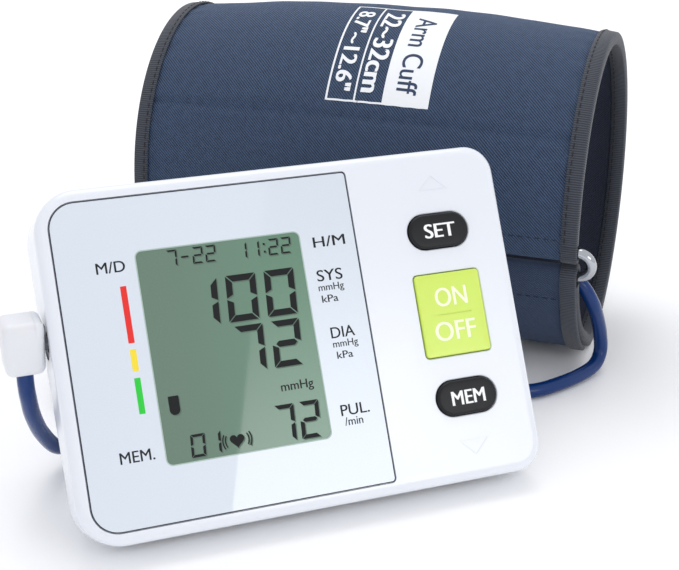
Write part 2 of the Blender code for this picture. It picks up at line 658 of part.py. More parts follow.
# ---- plug and hose -----------------------------------------------------------
def plug():
    y, z = SOCKET_Y, SOCKET_Z
    body = box("plug_body", (PLUG_X0, y - PLUG_HALF, PLUG_Z0), (PLUG_X1, y + PLUG_HALF, PLUG_Z1),
               WHITE, place)
    add_bevel(body, 2.6, 4)
    seat = cylinder("nozzle_seat", (PLUG_X1 - 4.6, y, z), (PLUG_X1 + 3, y, z), NOZZLE_R + GAP, WHITE,
                    place, sides=24, cutter=True)
    cut(body, seat)
    nozzle = cylinder("plug_nozzle", (PLUG_X1 - 4.2, y, z), (-64.0, y, z), NOZZLE_R, SOCKET_GREY, place,
                      sides=24)
    channel = cylinder("nozzle_channel", (-66, y, z), (-63, y, z), 1.0, WHITE, place, sides=16,
                       cutter=True)
    cut(nozzle, channel)
    ring = [(SEAL_X + SEAL_WIRE_R * cos(u), SEAL_R + SEAL_WIRE_R * sin(u))
            for u in [k * pi / 4 for k in range(8)]]
    turns = 28
    sections = []
    for k in range(turns):
        angle = 2 * pi * k / turns
        sections.append([(x, y + r * cos(angle), z + r * sin(angle)) for x, r in ring])
    loft("nozzle_seal", sections, RUBBER, place, ring=True)


def hose():
    wire("hose_cuff_end", smooth_route(CUFF_ROUTE, 6.0), HOSE_R, HOSE_BLUE, place, resolution=2)
    wire("hose_plug_end", smooth_route(PLUG_ROUTE, 6.0), HOSE_R, HOSE_BLUE, place, resolution=2)
    half = HOSE_R + 0.2
    profile = outline(COIL_MID_R - half, COIL_MID_R + half, 0.1, COIL_TURNS_H + 0.4, (half - 0.1,) * 4,
                      steps=2)
    turns = 28
    sections = []
    for k in range(turns):
        angle = 2 * pi * k / turns
        sections.append([(COIL_X + r * cos(angle), COIL_Y + r * sin(angle), z) for r, z in profile])
    loft("hose_coil", sections, HOSE_BLUE, place, ring=True)


# ---- cuff --------------------------------------------------------------------
def cuff_point(degrees, x, inset):
    """A point of the sleeve: the angle starts at the far side and runs up over the top."""
    angle = radians(degrees)
    swell = 1 + CUFF_BULGE * (1 - (x / CUFF_HALF) ** 2) * max(0.0, sin(angle))
    return (x, cos(angle) * (CUFF_A - inset) * swell, CUFF_Z + sin(angle) * (CUFF_B - inset) * swell)


def smooth_step(value, low, high):
    t = min(1.0, max(0.0, (value - low) / (high - low)))
    return t * t * (3 - 2 * t)


def lap(degrees):
    """How far in the wrap lies, because the tail lies over its end."""
    return LAP_SHIFT * smooth_step(-degrees, 93.0, 111.0)


def pad_depth(x):
    """Room for the bladder: the inner fabric swells in away from both ends."""
    return 3.1 * smooth_step(CUFF_HALF - abs(x), 8.0, 22.0)


def wrap_angles(first=0, last=WRAP_STEPS):
    """Angles along the wrap, shared by its layers so that their flats lie together."""
    return [WRAP_START + (WRAP_END - WRAP_START) * k / WRAP_STEPS for k in range(first, last + 1)]


def mirrored(places):
    """The same places on both sides of the middle."""
    return [-x for x in places] + [0.0] + list(reversed(places))


def wrap_layer(name, angles, places, outer, inner, look):
    """A curved sheet of the wrap; outer and inner give its insets at an angle and a place."""
    sections = []
    for x in places:
        outside = [cuff_point(a, x, outer(a, x)) for a in angles]
        inside = [cuff_point(a, x, inner(a, x)) for a in reversed(angles)]
        sections.append(outside + inside)
    return loft(name, sections, look, cuff_frame)


def cuff_layers():
    wrap_layer("cuff_outer_fabric", wrap_angles(), mirrored((CUFF_HALF, 55.0, 28.0)),
               lambda a, x: 0.2 + lap(a), lambda a, x: 1.3 + lap(a), NAVY)
    wrap_layer("cuff_inner_fabric", wrap_angles(), mirrored((CUFF_HALF, 74.3, 67.0, 60.2, 28.0)),
               lambda a, x: 1.6 + lap(a) + pad_depth(x), lambda a, x: 2.5 + lap(a) + pad_depth(x),
               DARK_NAVY)
    wrap_layer("cuff_bladder", wrap_angles(2, 24), mirrored((55.0, 28.0)), lambda a, x: 1.6,
               lambda a, x: 4.3, BLADDER)
    for name, side in (("left", -1), ("right", 1)):
        binding(f"cuff_binding_{name}", side)


def binding(name, side):
    """Folded tape round one end of the wrap: outside, over the edge and inside."""
    edge, start = CUFF_HALF + GAP, CUFF_HALF + GAP - TAPE_W
    outside, inside = -0.9, 3.6
    profile = ((outside, start), (outside, edge + TAPE_T), (inside, edge + TAPE_T), (inside, start),
               (inside - TAPE_T, start), (inside - TAPE_T, edge), (outside + TAPE_T, edge),
               (outside + TAPE_T, start))
    sections = []
    for angle in wrap_angles():
        sections.append([cuff_point(angle, side * x, inset + lap(angle)) for inset, x in profile])
    loft(name, sections, BINDING, cuff_frame)


def bar_place(degrees):
    return Vector(cuff_point(degrees, 0.0, RING_INSET))


def bar_sleeve(name, degrees, radii, cutter=False):
    """The rolled edge of fabric round one bar of the loop, and the cutter for its channel."""
    outer, inner = radii
    centre = bar_place(degrees)
    reach = CUFF_HALF + ROLL_OUT
    start, end = centre + Vector((-reach, 0, 0)), centre + Vector((reach, 0, 0))
    past = Vector((2, 0, 0))
    roll = cylinder(name, start, end, outer, NAVY, cuff_frame, sides=28, cutter=cutter)
    channel = cylinder(f"{name}_channel", start - past, end + past, inner, NAVY, cuff_frame, sides=20,
                       cutter=True)
    return roll, channel


def hem_and_tail():
    hem, channel = bar_sleeve("cuff_hem", HEM_ANGLE, HEM_ROLL)
    cut(hem, channel)
    start = TAIL_START - 2.5
    angles = [start + (TAIL_END - start) * k / 8 for k in range(9)]
    tail = wrap_layer("cuff_tail", angles, (-CUFF_HALF, 0.0, CUFF_HALF), lambda a, x: 0.2,
                      lambda a, x: 1.8, NAVY)
    roll, channel = bar_sleeve("tail_roll", TAIL_ANGLE, TAIL_ROLL, cutter=True)
    join(tail, roll)
    cut(tail, channel)


def loop_ring():
    """The metal loop, turning on the bar inside the hem."""
    top, low = bar_place(HEM_ANGLE), bar_place(TAIL_ANGLE)
    hinge = empty("cuff_ring_pivot", top, parent=cuff_frame)
    across = low - top
    bend = across.length / 2
    reach = CUFF_HALF + RING_OUT
    points = []
    for side in (1, -1):
        for k in range(9):
            angle = pi * k / 8
            along = side * (reach + bend * sin(angle))
            down = across * (0.5 - side * 0.5 * cos(angle))
            points.append((along, down.y, down.z))
    straight = [Vector(points[8]).lerp(Vector(points[9]), k / 6) for k in range(1, 6)]
    back = [Vector(points[17]).lerp(Vector(points[0]), k / 6) for k in range(1, 6)]
    loop = points[:9] + straight + points[9:] + back
    wire("cuff_ring", loop, RING_WIRE_R, CHROME, hinge, resolution=3, cyclic=True)


def hose_port():
    body = box("hose_port", PORT_LOW, PORT_HIGH, RUBBER, cuff_frame)
    add_bevel(body, 1.2, 3)


# ---- assembly ----------------------------------------------------------------
clear_scene()
parts_collection = make_collection("upper_arm_blood_pressure_monitor")
cutters_collection = make_collection("cutters")

WHITE = material("white_abs", "F4F6FA", 0.25)
GREY_WHITE = material("rear_abs", "E9ECF1", 0.4)
PANEL = material("panel_acrylic", "DCE3EA", 0.08)
LCD_GLASS = material("lcd_glass", "7E9B8C", 0.2)
BLACK = material("black_plastic", "1F2124", 0.4)
LIME = material("lime_plastic", "D2EA6C", 0.35)
BOARD_GREEN = material("board", "1F5A37", 0.5)
STEEL = material("steel", "B9BCC2", 0.35, 1.0)
CHROME = material("chromed_steel", "D8DADD", 0.12, 1.0)
RUBBER = material("rubber", "2B2C2F", 0.75)
CELL_SKIN = material("battery_sleeve", "2F5C8C", 0.4)
SOCKET_GREY = material("socket_plastic", "C9CCD2", 0.4)
TUBE_CLEAR = material("silicone_tube", "D9DEE2", 0.3)
HOSE_BLUE = material("hose", "1E3A6E", 0.35)
NAVY = material("navy_nylon", "3A4A66", 0.8)
DARK_NAVY = material("inner_nylon", "1F2333", 0.85)
BLADDER = material("bladder_film", "6C7684", 0.5)
BINDING = material("binding_tape", "4A4A50", 0.85)

place = empty("assembly", (-CENTRE_X, -CENTRE_Y, 0))
face_frame = empty("face_frame", (0, 0, LIFT), (TILT, 0, 0), parent=place)
cuff_frame = empty("cuff_frame", (CUFF_X, CUFF_Y, 0), (0, 0, CUFF_TURN), parent=place)

front_housing()
rear_housing()
screws()
feet()
display()
buttons()
electronics()
batteries()
battery_door()
pump()
valve()
air_lines()
plug()
hose()
cuff_layers()
hem_and_tail()
loop_ring()
hose_port()
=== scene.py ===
"""Looks of the upper arm blood pressure monitor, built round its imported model.

Pieces are modelled in millimetres in one of three frames and turned into metres:
TABLE has x right, y back and z up from under the middle of the face's bottom edge.
FACE has x across the sloping face, s up it and d in through it, as the point (x, s, -d).
CUFF has x along the sleeve, y away from the unit and z up.
"""

import json
from math import atan2, cos, exp, pi, radians, sin

import bmesh
import bpy
from mathutils import Matrix, Vector, noise


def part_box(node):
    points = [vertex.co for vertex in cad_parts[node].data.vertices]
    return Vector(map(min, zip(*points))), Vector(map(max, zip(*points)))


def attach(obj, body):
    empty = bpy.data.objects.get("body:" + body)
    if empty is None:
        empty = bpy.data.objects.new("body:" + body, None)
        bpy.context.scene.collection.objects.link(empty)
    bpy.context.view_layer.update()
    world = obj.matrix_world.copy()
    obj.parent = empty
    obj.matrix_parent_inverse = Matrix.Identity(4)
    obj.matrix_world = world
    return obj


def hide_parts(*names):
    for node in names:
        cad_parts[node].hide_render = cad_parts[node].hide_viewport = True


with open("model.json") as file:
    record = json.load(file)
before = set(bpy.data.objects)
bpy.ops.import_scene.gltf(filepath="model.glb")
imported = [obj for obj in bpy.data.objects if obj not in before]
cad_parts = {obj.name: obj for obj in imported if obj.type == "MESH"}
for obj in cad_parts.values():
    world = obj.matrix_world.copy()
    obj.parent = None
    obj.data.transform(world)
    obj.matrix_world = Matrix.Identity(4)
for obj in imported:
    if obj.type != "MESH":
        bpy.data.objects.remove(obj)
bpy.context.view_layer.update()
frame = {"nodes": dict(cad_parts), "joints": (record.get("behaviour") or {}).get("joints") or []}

MM = 0.001
GAP = 0.3                               # clearance between pieces that touch
joints = {joint["name"]: joint for joint in frame["joints"]}

# ---- the three frames --------------------------------------------------------
inward = Vector(joints["set_press"]["axis"])
TILT = atan2(inward.y, -inward.z)
WINDOW = (-68.4, 22.7, 4.0, 99.1)       # x0, x1, s0, s1 of the window panel
window_low, window_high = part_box("display_window")
face_origin = Vector((window_low.x - WINDOW[0] * MM,
                      window_low.y - WINDOW[2] * MM * cos(TILT),
                      window_high.z - WINDOW[3] * MM * sin(TILT)))
FACE = Matrix.Translation(face_origin) @ Matrix.Rotation(TILT, 4, "X") @ Matrix.Scale(MM, 4)
TABLE = Matrix.Translation((face_origin.x, face_origin.y, 0)) @ Matrix.Scale(MM, 4)
LIFT = face_origin.z / MM

CUFF_A, CUFF_B = 50.1, 58.6             # half width and half height of the sleeve
CUFF_Z = CUFF_B + 0.9
CUFF_HALF = 82.2
CUFF_BULGE = 0.092
HEM_ANGLE, TAIL_ANGLE = 187.0, 196.8    # the loop's two bars
WRAP_START, WRAP_END = 182.9, -159.0
TAIL_START, TAIL_END = 201.2, 247.0
LAP_SHIFT = 3.2
RING_INSET = 3.6
HEM_ROLL_R, STRAP_ROLL_R = 3.1, 3.9     # outsides of the cloth rolled round the loop's bars
CLOTH_T, LINING_T = 0.9, 0.6


def cuff_point(degrees, x, inset):
    """A point of the sleeve: the angle starts at the far side and runs up over the top."""
    angle = radians(degrees)
    swell = 1 + CUFF_BULGE * (1 - (x / CUFF_HALF) ** 2) * max(0.0, sin(angle))
    return Vector((x, cos(angle) * (CUFF_A - inset) * swell,
                   CUFF_Z + sin(angle) * (CUFF_B - inset) * swell))


swing = joints["loop_swing"]
cuff_turn = Matrix.Rotation(atan2(swing["axis"][1], swing["axis"][0]), 4, "Z")
cuff_origin = Vector(swing["pos_m"]) - cuff_turn @ (cuff_point(HEM_ANGLE, 0, RING_INSET) * MM)
CUFF = (Matrix.Translation((cuff_origin.x, cuff_origin.y, 0)) @ cuff_turn
        @ Matrix.Scale(MM, 4))


# ---- camera ------------------------------------------------------------------
def aim_camera():
    """A long lens in front of the unit, a little to its left and above it."""
    lens = bpy.data.cameras.new("camera")
    lens.lens, lens.sensor_width = 76.68, 36.0
    camera = bpy.data.objects.new("camera", lens)
    camera.location = Vector((-176.2, -468.1, 229.0)) * MM
    camera.rotation_euler = (radians(90 - 22.09), 0, radians(-20.33))
    bpy.context.scene.collection.objects.link(camera)
    bpy.context.scene.camera = camera


# ---- node and material helpers -----------------------------------------------
def srgb(code, alpha=1.0):
    """Linear colour of an sRGB hex value."""
    parts = [int(code[i:i + 2], 16) / 255 for i in (0, 2, 4)]
    return (*(p / 12.92 if p <= 0.04045 else ((p + 0.055) / 1.055) ** 2.4 for p in parts), alpha)


def add(tree, kind, inputs=(), **settings):
    """Add a node with its settings; inputs gives a socket a value or another node's output."""
    made = tree.nodes.new(kind)
    for key, value in settings.items():
        setattr(made, key, value)
    for socket, value in dict(inputs).items():
        if isinstance(value, bpy.types.NodeSocket):
            tree.links.new(value, made.inputs[socket])
        else:
            made.inputs[socket].default_value = value
    return made


def start_material(name, colour, roughness, **constants):
    """A Principled material with its even values on the shader's own sockets."""
    made = bpy.data.materials.new(name)
    made.use_nodes = True
    tree = made.node_tree
    shader = tree.nodes["Principled BSDF"]
    shader.inputs["Base Color"].default_value = srgb(colour)
    shader.inputs["Roughness"].default_value = roughness
    for socket, value in constants.items():
        shader.inputs[socket.replace("_", " ")].default_value = value
    made.diffuse_color = srgb(colour)
    return made, tree, shader


def link(tree, output, shader, socket):
    tree.links.new(output, shader.inputs[socket])


def mix(tree, factor, first, second):
    """A colour between two others, each a colour or another node's output."""
    made = add(tree, "ShaderNodeMix", {0: factor, 6: first, 7: second}, data_type="RGBA")
    return made.outputs[2]


def emboss(tree, shader, height, strength, depth_mm):
    """Let a texture's height shape the surface."""
    relief = add(tree, "ShaderNodeBump", {"Height": height, "Strength": strength,
                                          "Distance": depth_mm * MM})
    link(tree, relief.outputs["Normal"], shader, "Normal")


def uneven_gloss(tree, shader, value, low, high):
    """Let a texture move the roughness between two values."""
    gloss = add(tree, "ShaderNodeMapRange", {"Value": value, "To Min": low, "To Max": high})
    link(tree, gloss.outputs["Result"], shader, "Roughness")


def moulded(name, colour, other, roughness, grain_mm, bump, **constants):
    """A moulded plastic or rubber: slight colour drift, uneven gloss and a fine skin."""
    made, tree, shader = start_material(name, colour, roughness, **constants)
    place = add(tree, "ShaderNodeTexCoord").outputs["Object"]
    drift = add(tree, "ShaderNodeTexNoise", {"Vector": place, "Scale": 22.0, "Detail": 3.0})
    tint = mix(tree, drift.outputs["Fac"], srgb(colour), srgb(other))
    link(tree, tint, shader, "Base Color")
    skin = add(tree, "ShaderNodeTexNoise",
               {"Vector": place, "Scale": 1 / (grain_mm * MM), "Detail": 2.0})
    uneven_gloss(tree, shader, drift.outputs["Fac"], roughness * 0.85, roughness * 1.15)
    emboss(tree, shader, skin.outputs["Fac"], bump, 0.2)
    return made


# ---- materials of the unit ---------------------------------------------------
ACRYLIC_IOR = 1.49


def glossy_white_abs():
    """ABS from a polished mould: bright and smooth, with a faint ripple in its highlights."""
    return moulded("glossy_white_abs", "E8EBF1", "E3E7EE", 0.24, 2.5, 0.05, Coat_Weight=0.25,
                   Coat_Roughness=0.12)


def textured_rear_abs():
    """ABS from a spark-eroded mould: a fine matt grain of about 0.35 mm."""
    return moulded("textured_rear_abs", "E4E7ED", "DDE1E8", 0.42, 0.35, 0.25)


def silver_back_print():
    """Clear acrylic over silver-blue ink: soft metallic flecks under a mirror-smooth front."""
    made, tree, shader = start_material("silver_back_print", "D6DEE7", 0.38, Coat_Weight=1.0,
                                        Coat_Roughness=0.02, Coat_IOR=ACRYLIC_IOR)
    place = add(tree, "ShaderNodeUVMap", uv_map="mm").outputs["UV"]
    fleck = add(tree, "ShaderNodeTexNoise", {"Vector": place, "Scale": 2.6, "Detail": 2.0})
    fade = add(tree, "ShaderNodeTexNoise", {"Vector": place, "Scale": 0.012, "Detail": 0.0})
    base = mix(tree, fade.outputs["Fac"], srgb("D9E1EA"), srgb("D2DAE4"))
    shine = add(tree, "ShaderNodeMapRange", {"Value": fleck.outputs["Fac"], "From Min": 0.35,
                                             "From Max": 0.75, "To Min": 0.0, "To Max": 0.3})
    colour = mix(tree, shine.outputs["Result"], base, srgb("E4EAF1"))
    link(tree, colour, shader, "Base Color")
    return made


def polariser_film():
    """The display's polariser over its reflector: grey-green with a faint fibrous reflector, painted
    lighter to the right.
    """
    made, tree, shader = start_material("polariser_film", "7C9686", 0.5, Coat_Weight=1.0,
                                        Coat_Roughness=0.03, Coat_IOR=ACRYLIC_IOR)
    place = add(tree, "ShaderNodeUVMap", uv_map="mm").outputs["UV"]
    across = add(tree, "ShaderNodeSeparateXYZ", {"Vector": place})
    # painted light: the display is painted darker at its left and lighter and greener at its right,
    # where the light falls on it
    shade = add(tree, "ShaderNodeMapRange", {"Value": across.outputs["X"], "From Min": -45.0,
                                             "From Max": 6.0}, interpolation_type="SMOOTHSTEP")
    fibre = add(tree, "ShaderNodeTexNoise", {"Vector": place, "Scale": 1.8, "Detail": 3.0})
    base = mix(tree, shade.outputs["Result"], srgb("54705D"), srgb("588A6C"))
    colour = mix(tree, fibre.outputs["Fac"], base, srgb("5C7A67"))
    link(tree, colour, shader, "Base Color")
    return made


def ink(name, colour, roughness=0.5):
    """Screen-printed ink: even, thin and satin, with a trace of mesh texture."""
    made, tree, shader = start_material(name, colour, roughness, Specular_IOR_Level=0.3)
    place = add(tree, "ShaderNodeTexCoord").outputs["Object"]
    mesh = add(tree, "ShaderNodeTexNoise", {"Vector": place, "Scale": 2400.0, "Detail": 1.0})
    emboss(tree, shader, mesh.outputs["Fac"], 0.1, 0.1)
    return made


def black_key_abs():
    """Black ABS keys, satin from a lightly blasted mould."""
    return moulded("black_key_abs", "101114", "16171B", 0.38, 0.3, 0.12, Specular_IOR_Level=0.3)


def lime_key_plastic():
    """Lime tinted plastic, slightly translucent, so that its edges glow."""
    return moulded("lime_key_plastic", "CDE65E", "D4EB66", 0.32, 0.5, 0.08,
                   Subsurface_Weight=0.25, Subsurface_Scale=0.002, Coat_Weight=0.2,
                   Coat_Roughness=0.1)


def white_plug_plastic():
    """Soft white PVC of the plug, satin with a fine grain."""
    return moulded("white_plug_plastic", "E6E7EA", "DFE1E5", 0.4, 0.4, 0.15,
                   Subsurface_Weight=0.1, Subsurface_Scale=0.002)


def chromed_steel():
    """Plated wire: mirror bright, with a faint haze."""
    made, tree, shader = start_material("chromed_steel", "B4B7BC", 0.1, Metallic=1.0)
    place = add(tree, "ShaderNodeTexCoord").outputs["Object"]
    haze = add(tree, "ShaderNodeTexNoise", {"Vector": place, "Scale": 400.0, "Detail": 3.0})
    uneven_gloss(tree, shader, haze.outputs["Fac"], 0.06, 0.16)
    return made


def metal(name, colour, roughness, grain_mm):
    """A turned or pressed metal with uneven gloss."""
    made, tree, shader = start_material(name, colour, roughness, Metallic=1.0)
    place = add(tree, "ShaderNodeTexCoord").outputs["Object"]
    grain = add(tree, "ShaderNodeTexNoise",
                {"Vector": place, "Scale": 1 / (grain_mm * MM), "Detail": 4.0})
    uneven_gloss(tree, shader, grain.outputs["Fac"], roughness * 0.7, roughness * 1.3)
    emboss(tree, shader, grain.outputs["Fac"], 0.15, 0.1)
    return made


def solder_mask():
    """A green board: glossy lacquer over copper tracks about 1.2 mm apart."""
    made, tree, shader = start_material("solder_mask", "1D5A36", 0.3, Coat_Weight=0.5)
    place = add(tree, "ShaderNodeTexCoord").outputs["Object"]
    tracks = add(tree, "ShaderNodeTexBrick", {"Vector": place, "Scale": 260.0, "Mortar Size": 0.06,
                                              "Color1": srgb("1D5A36"), "Color2": srgb("206440"),
                                              "Mortar": srgb("3C8A57")})
    link(tree, tracks.outputs["Color"], shader, "Base Color")
    emboss(tree, shader, tracks.outputs["Fac"], 0.3, 0.1)
    return made


def blue_pvc_hose():
    """Extruded PVC tube: deep blue and glossy, with slow ripples left by the die."""
    return moulded("blue_pvc_hose", "073573", "052C63", 0.22, 3.0, 0.04,
                   Specular_IOR_Level=0.35)


# ---- materials of the cuff ---------------------------------------------------
def woven_nylon(name, dark, light, spacing_mm, sheen):
    """Nylon twill: diagonal ribs over crossing threads, mottled where the yarn lies unevenly.
    Real ribs are about 0.5 mm apart; they are drawn coarser so that they show."""
    made, tree, shader = start_material(name, dark, 0.78, Sheen_Weight=sheen, Sheen_Roughness=0.45,
                                        Sheen_Tint=srgb("8FA6CF"))
    place = add(tree, "ShaderNodeUVMap", uv_map="mm").outputs["UV"]
    ribs = add(tree, "ShaderNodeTexWave", {"Vector": place, "Scale": 0.444 / spacing_mm,
                                           "Distortion": 0.6, "Detail": 1.0, "Detail Scale": 1.5},
               bands_direction="DIAGONAL")
    threads = add(tree, "ShaderNodeTexWave", {"Vector": place, "Scale": 0.314 / (spacing_mm * 0.7),
                                              "Distortion": 0.3, "Detail": 0.0},
                  bands_direction="Y")
    woven = add(tree, "ShaderNodeMath", {0: ribs.outputs["Fac"], 1: threads.outputs["Fac"]},
                operation="MULTIPLY")
    mottle = add(tree, "ShaderNodeTexNoise", {"Vector": place, "Scale": 0.35, "Detail": 4.0,
                                              "Roughness": 0.65})
    spread = add(tree, "ShaderNodeMapRange", {"Value": mottle.outputs["Fac"], "From Min": 0.3,
                                              "From Max": 0.7, "To Min": -0.12, "To Max": 0.12})
    blend = add(tree, "ShaderNodeMath", {0: ribs.outputs["Fac"], 1: spread.outputs["Result"]},
                operation="ADD", use_clamp=True)
    link(tree, mix(tree, blend.outputs[0], srgb(dark), srgb(light)), shader, "Base Color")
    height = add(tree, "ShaderNodeMath", {0: ribs.outputs["Fac"], 1: woven.outputs[0]},
                 operation="ADD")
    emboss(tree, shader, height.outputs[0], 0.75, 0.18)
    return made


def grosgrain_tape():
    """Ribbed polyester tape: ribs across it, 0.8 mm apart, with a dull sheen on their crests."""
    made, tree, shader = start_material("grosgrain_tape", "43454C", 0.72, Sheen_Weight=0.2,
                                        Sheen_Roughness=0.4)
    place = add(tree, "ShaderNodeUVMap", uv_map="mm").outputs["UV"]
    ribs = add(tree, "ShaderNodeTexWave", {"Vector": place, "Scale": 0.314 / 0.8, "Distortion": 0.8,
                                           "Detail": 1.0, "Detail Scale": 2.0}, bands_direction="X")
    colour = mix(tree, ribs.outputs["Fac"], srgb("20242C"), srgb("444954"))
    link(tree, colour, shader, "Base Color")
    emboss(tree, shader, ribs.outputs["Fac"], 0.6, 0.2)
    return made


def sewing_thread():
    """Spun polyester thread: dark and matt."""
    return moulded("sewing_thread", "141D2E", "1A2538", 0.7, 0.3, 0.3)


# ---- mesh helpers ------------------------------------------------------------
SHARP = 38                              # degrees: edges that turn more than this stay crisp


def make_piece(name, builder, place, look, smooth=SHARP):
    """Turn a bmesh in millimetres into a piece in metres with its faces pointing out."""
    bmesh.ops.transform(builder, matrix=place, verts=builder.verts)
    bmesh.ops.recalc_face_normals(builder, faces=builder.faces)
    mesh = bpy.data.meshes.new(name)
    builder.to_mesh(mesh)
    builder.free()
    mesh.shade_smooth()
    mesh.set_sharp_from_angle(angle=radians(smooth))
    mesh.materials.append(look)
    made = bpy.data.objects.new(name, mesh)
    bpy.context.scene.collection.objects.link(made)
    return made


def add_loft(builder, sections, caps=(True, True), ring=False):
    """Skin over closed outlines that have the same number of points."""
    rows = [[builder.verts.new(point) for point in outline] for outline in sections]
    pairs = list(zip(rows, rows[1:]))
    if ring:
        pairs.append((rows[-1], rows[0]))
    for low, high in pairs:
        for i in range(len(low)):
            j = (i + 1) % len(low)
            builder.faces.new((low[i], low[j], high[j], high[i]))
    for wanted, row in zip(caps, (rows[0], rows[-1])):
        if wanted and not ring:
            builder.faces.new(row)


def loft(name, sections, place, look, caps=(True, True)):
    """A piece skinned over closed outlines."""
    builder = bmesh.new()
    add_loft(builder, sections, caps)
    return make_piece(name, builder, place, look)


def add_cylinder(builder, start, end, radius, sides=40):
    """A closed cylinder between two points."""
    start, end = Vector(start), Vector(end)
    turn = (end - start).to_track_quat("Z", "Y").to_matrix().to_4x4()
    bmesh.ops.create_cone(builder, cap_ends=True, segments=sides, radius1=radius,
                          radius2=radius, depth=(end - start).length,
                          matrix=Matrix.Translation((start + end) / 2) @ turn)


def outline(x0, x1, y0, y1, radii, steps=12):
    """A rectangle with round corners: bottom left, bottom right, top right, top left."""
    centres = ((x0 + radii[0], y0 + radii[0]), (x1 - radii[1], y0 + radii[1]),
               (x1 - radii[2], y1 - radii[2]), (x0 + radii[3], y1 - radii[3]))
    points = []
    for corner, ((cx, cy), radius) in enumerate(zip(centres, radii)):
        for k in range(steps + 1):
            angle = pi + corner * pi / 2 + k * pi / 2 / steps
            points.append((cx + radius * cos(angle), cy + radius * sin(angle)))
    return points


def grow(area, by):
    """An area made larger by the same amount on every side."""
    x0, x1, s0, s1 = area
    return (x0 - by, x1 + by, s0 - by, s1 + by)


def face_section(area, radii, inset, depth, steps=12):
    """A round-cornered outline on the face, drawn in by inset, at a depth."""
    small = [max(0.02, r - inset) for r in radii]
    return [(x, s, -depth) for x, s in outline(*grow(area, -inset), small, steps)]


def settle(piece):
    """Turn a piece's modifiers into its own mesh."""
    graph = bpy.context.evaluated_depsgraph_get()
    mesh = bpy.data.meshes.new_from_object(piece.evaluated_get(graph))
    piece.modifiers.clear()
    piece.data = mesh


def carve(piece, builder, place, operation="DIFFERENCE"):
    """Cut the builder's solids from a piece, or join them to it."""
    tool = make_piece("tool", builder, place, piece.data.materials[0])
    boolean = piece.modifiers.new("carve", "BOOLEAN")
    boolean.operation = operation
    boolean.solver = "EXACT"
    boolean.use_self = True
    boolean.object = tool
    settle(piece)
    bpy.data.objects.remove(tool, do_unlink=True)
    piece.data.shade_smooth()
    piece.data.set_sharp_from_angle(angle=radians(SHARP))


def thicken(piece, thickness):
    """Give an open skin its wall, inward, with a rim."""
    solid = piece.modifiers.new("wall", "SOLIDIFY")
    solid.thickness = thickness * MM
    solid.offset = -1
    solid.use_even_offset = True
    settle(piece)


def map_face(piece):
    """Give a piece on the face a map in millimetres across and up the face."""
    layer = piece.data.uv_layers.new(name="mm")
    back = FACE.inverted()
    for loop in piece.data.loops:
        spot = back @ piece.data.vertices[loop.vertex_index].co
        layer.data[loop.index].uv = (spot.x, spot.y)


def wear(piece, body, stands_for=()):
    """Ride a piece on its body and the nodes it stands for."""
    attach(piece, body)
    if stands_for:
        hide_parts(*stands_for)
    return piece


# ---- the unit's case ---------------------------------------------------------
FACE_HALF, FACE_H = 72.5, 103.2
CORNERS = (13.3, 9.0, 9.0, 13.3)
EDGE_R, REAR_EDGE_R = 3.0, 4.0
HOLD = 0.06                             # a narrow band that keeps the flat inside it flat-shaded
WALL, REAR_WALL = 2.5, 2.2
TRIM = 1.0
PART_LOW, PART_HIGH = 11.8, 22.9        # depth of the front shell at its bottom and its top
WINDOW_R = (7.9, 1.2, 1.2, 7.9)
WINDOW_T = 1.1
LCD = (-45.0, 5.1, 20.2, 82.7)
LCD_R = (1.9, 1.9, 1.9, 1.9)
BUTTON_X = 50.0
KEYS = {"set": (77.5, 19.8, 10.7, 5.34), "power": (51.5, 21.5, 25.5, 1.1),
        "memory": (25.6, 19.8, 10.7, 5.34)}     # s of the middle, width, height, corner
BOSSES = ((-58.0, 91.5), (58.0, 91.5), (-61.0, 11.5), (61.0, 11.5))
BOSS_R = 3.8
FEET = ((-46.0, 16.5), (46.0, 16.5), (-46.0, 59.6), (46.0, 59.6))
BASE_Z = 2.0
REAR_LOW, REAR_HIGH = (67.0, BASE_Z), (71.5, 84.0)
REAR_INSET_LOW, REAR_INSET_HIGH = 10.0, 3.5
BAY = (-54.0, 54.0, 23.0, 55.4)
SOCKET_Y, SOCKET_Z, SOCKET_R = 37.8, 56.6, 5.0


def key_area(key):
    s, width, height, radius = KEYS[key]
    return ((BUTTON_X - width / 2, BUTTON_X + width / 2, s - height / 2, s + height / 2),
            (radius,) * 4)


def parting_depth(s):
    return PART_LOW + (PART_HIGH - PART_LOW) * s / FACE_H


def to_face(y, z):
    """Table y and z as s and d in the face frame."""
    return (y * cos(TILT) + (z - LIFT) * sin(TILT), y * sin(TILT) - (z - LIFT) * cos(TILT))


def rear_depth(s):
    head, foot = to_face(*REAR_HIGH), to_face(*REAR_LOW)
    return foot[1] + (head[1] - foot[1]) * (s - foot[0]) / (head[0] - foot[0])


def parting_block(near, far):
    """A solid with one side along the plane where the two shells meet."""
    builder = bmesh.new()
    corners = ((-90, -30), (90, -30), (90, 140), (-90, 140))
    add_loft(builder, [[(x, s, -parting_depth(s) - offset) for x, s in corners]
                       for offset in (near, near + far)])
    return builder


def add_opening(builder, area, radii, end, chamfer=0.25):
    """A cutter for an opening in the face, with a small chamfer round its mouth."""
    add_loft(builder, [face_section(area, radii, -chamfer, -3.0),
                       face_section(area, radii, -chamfer, 0.0),
                       face_section(area, radii, 0.0, chamfer),
                       face_section(area, radii, 0.0, end)])


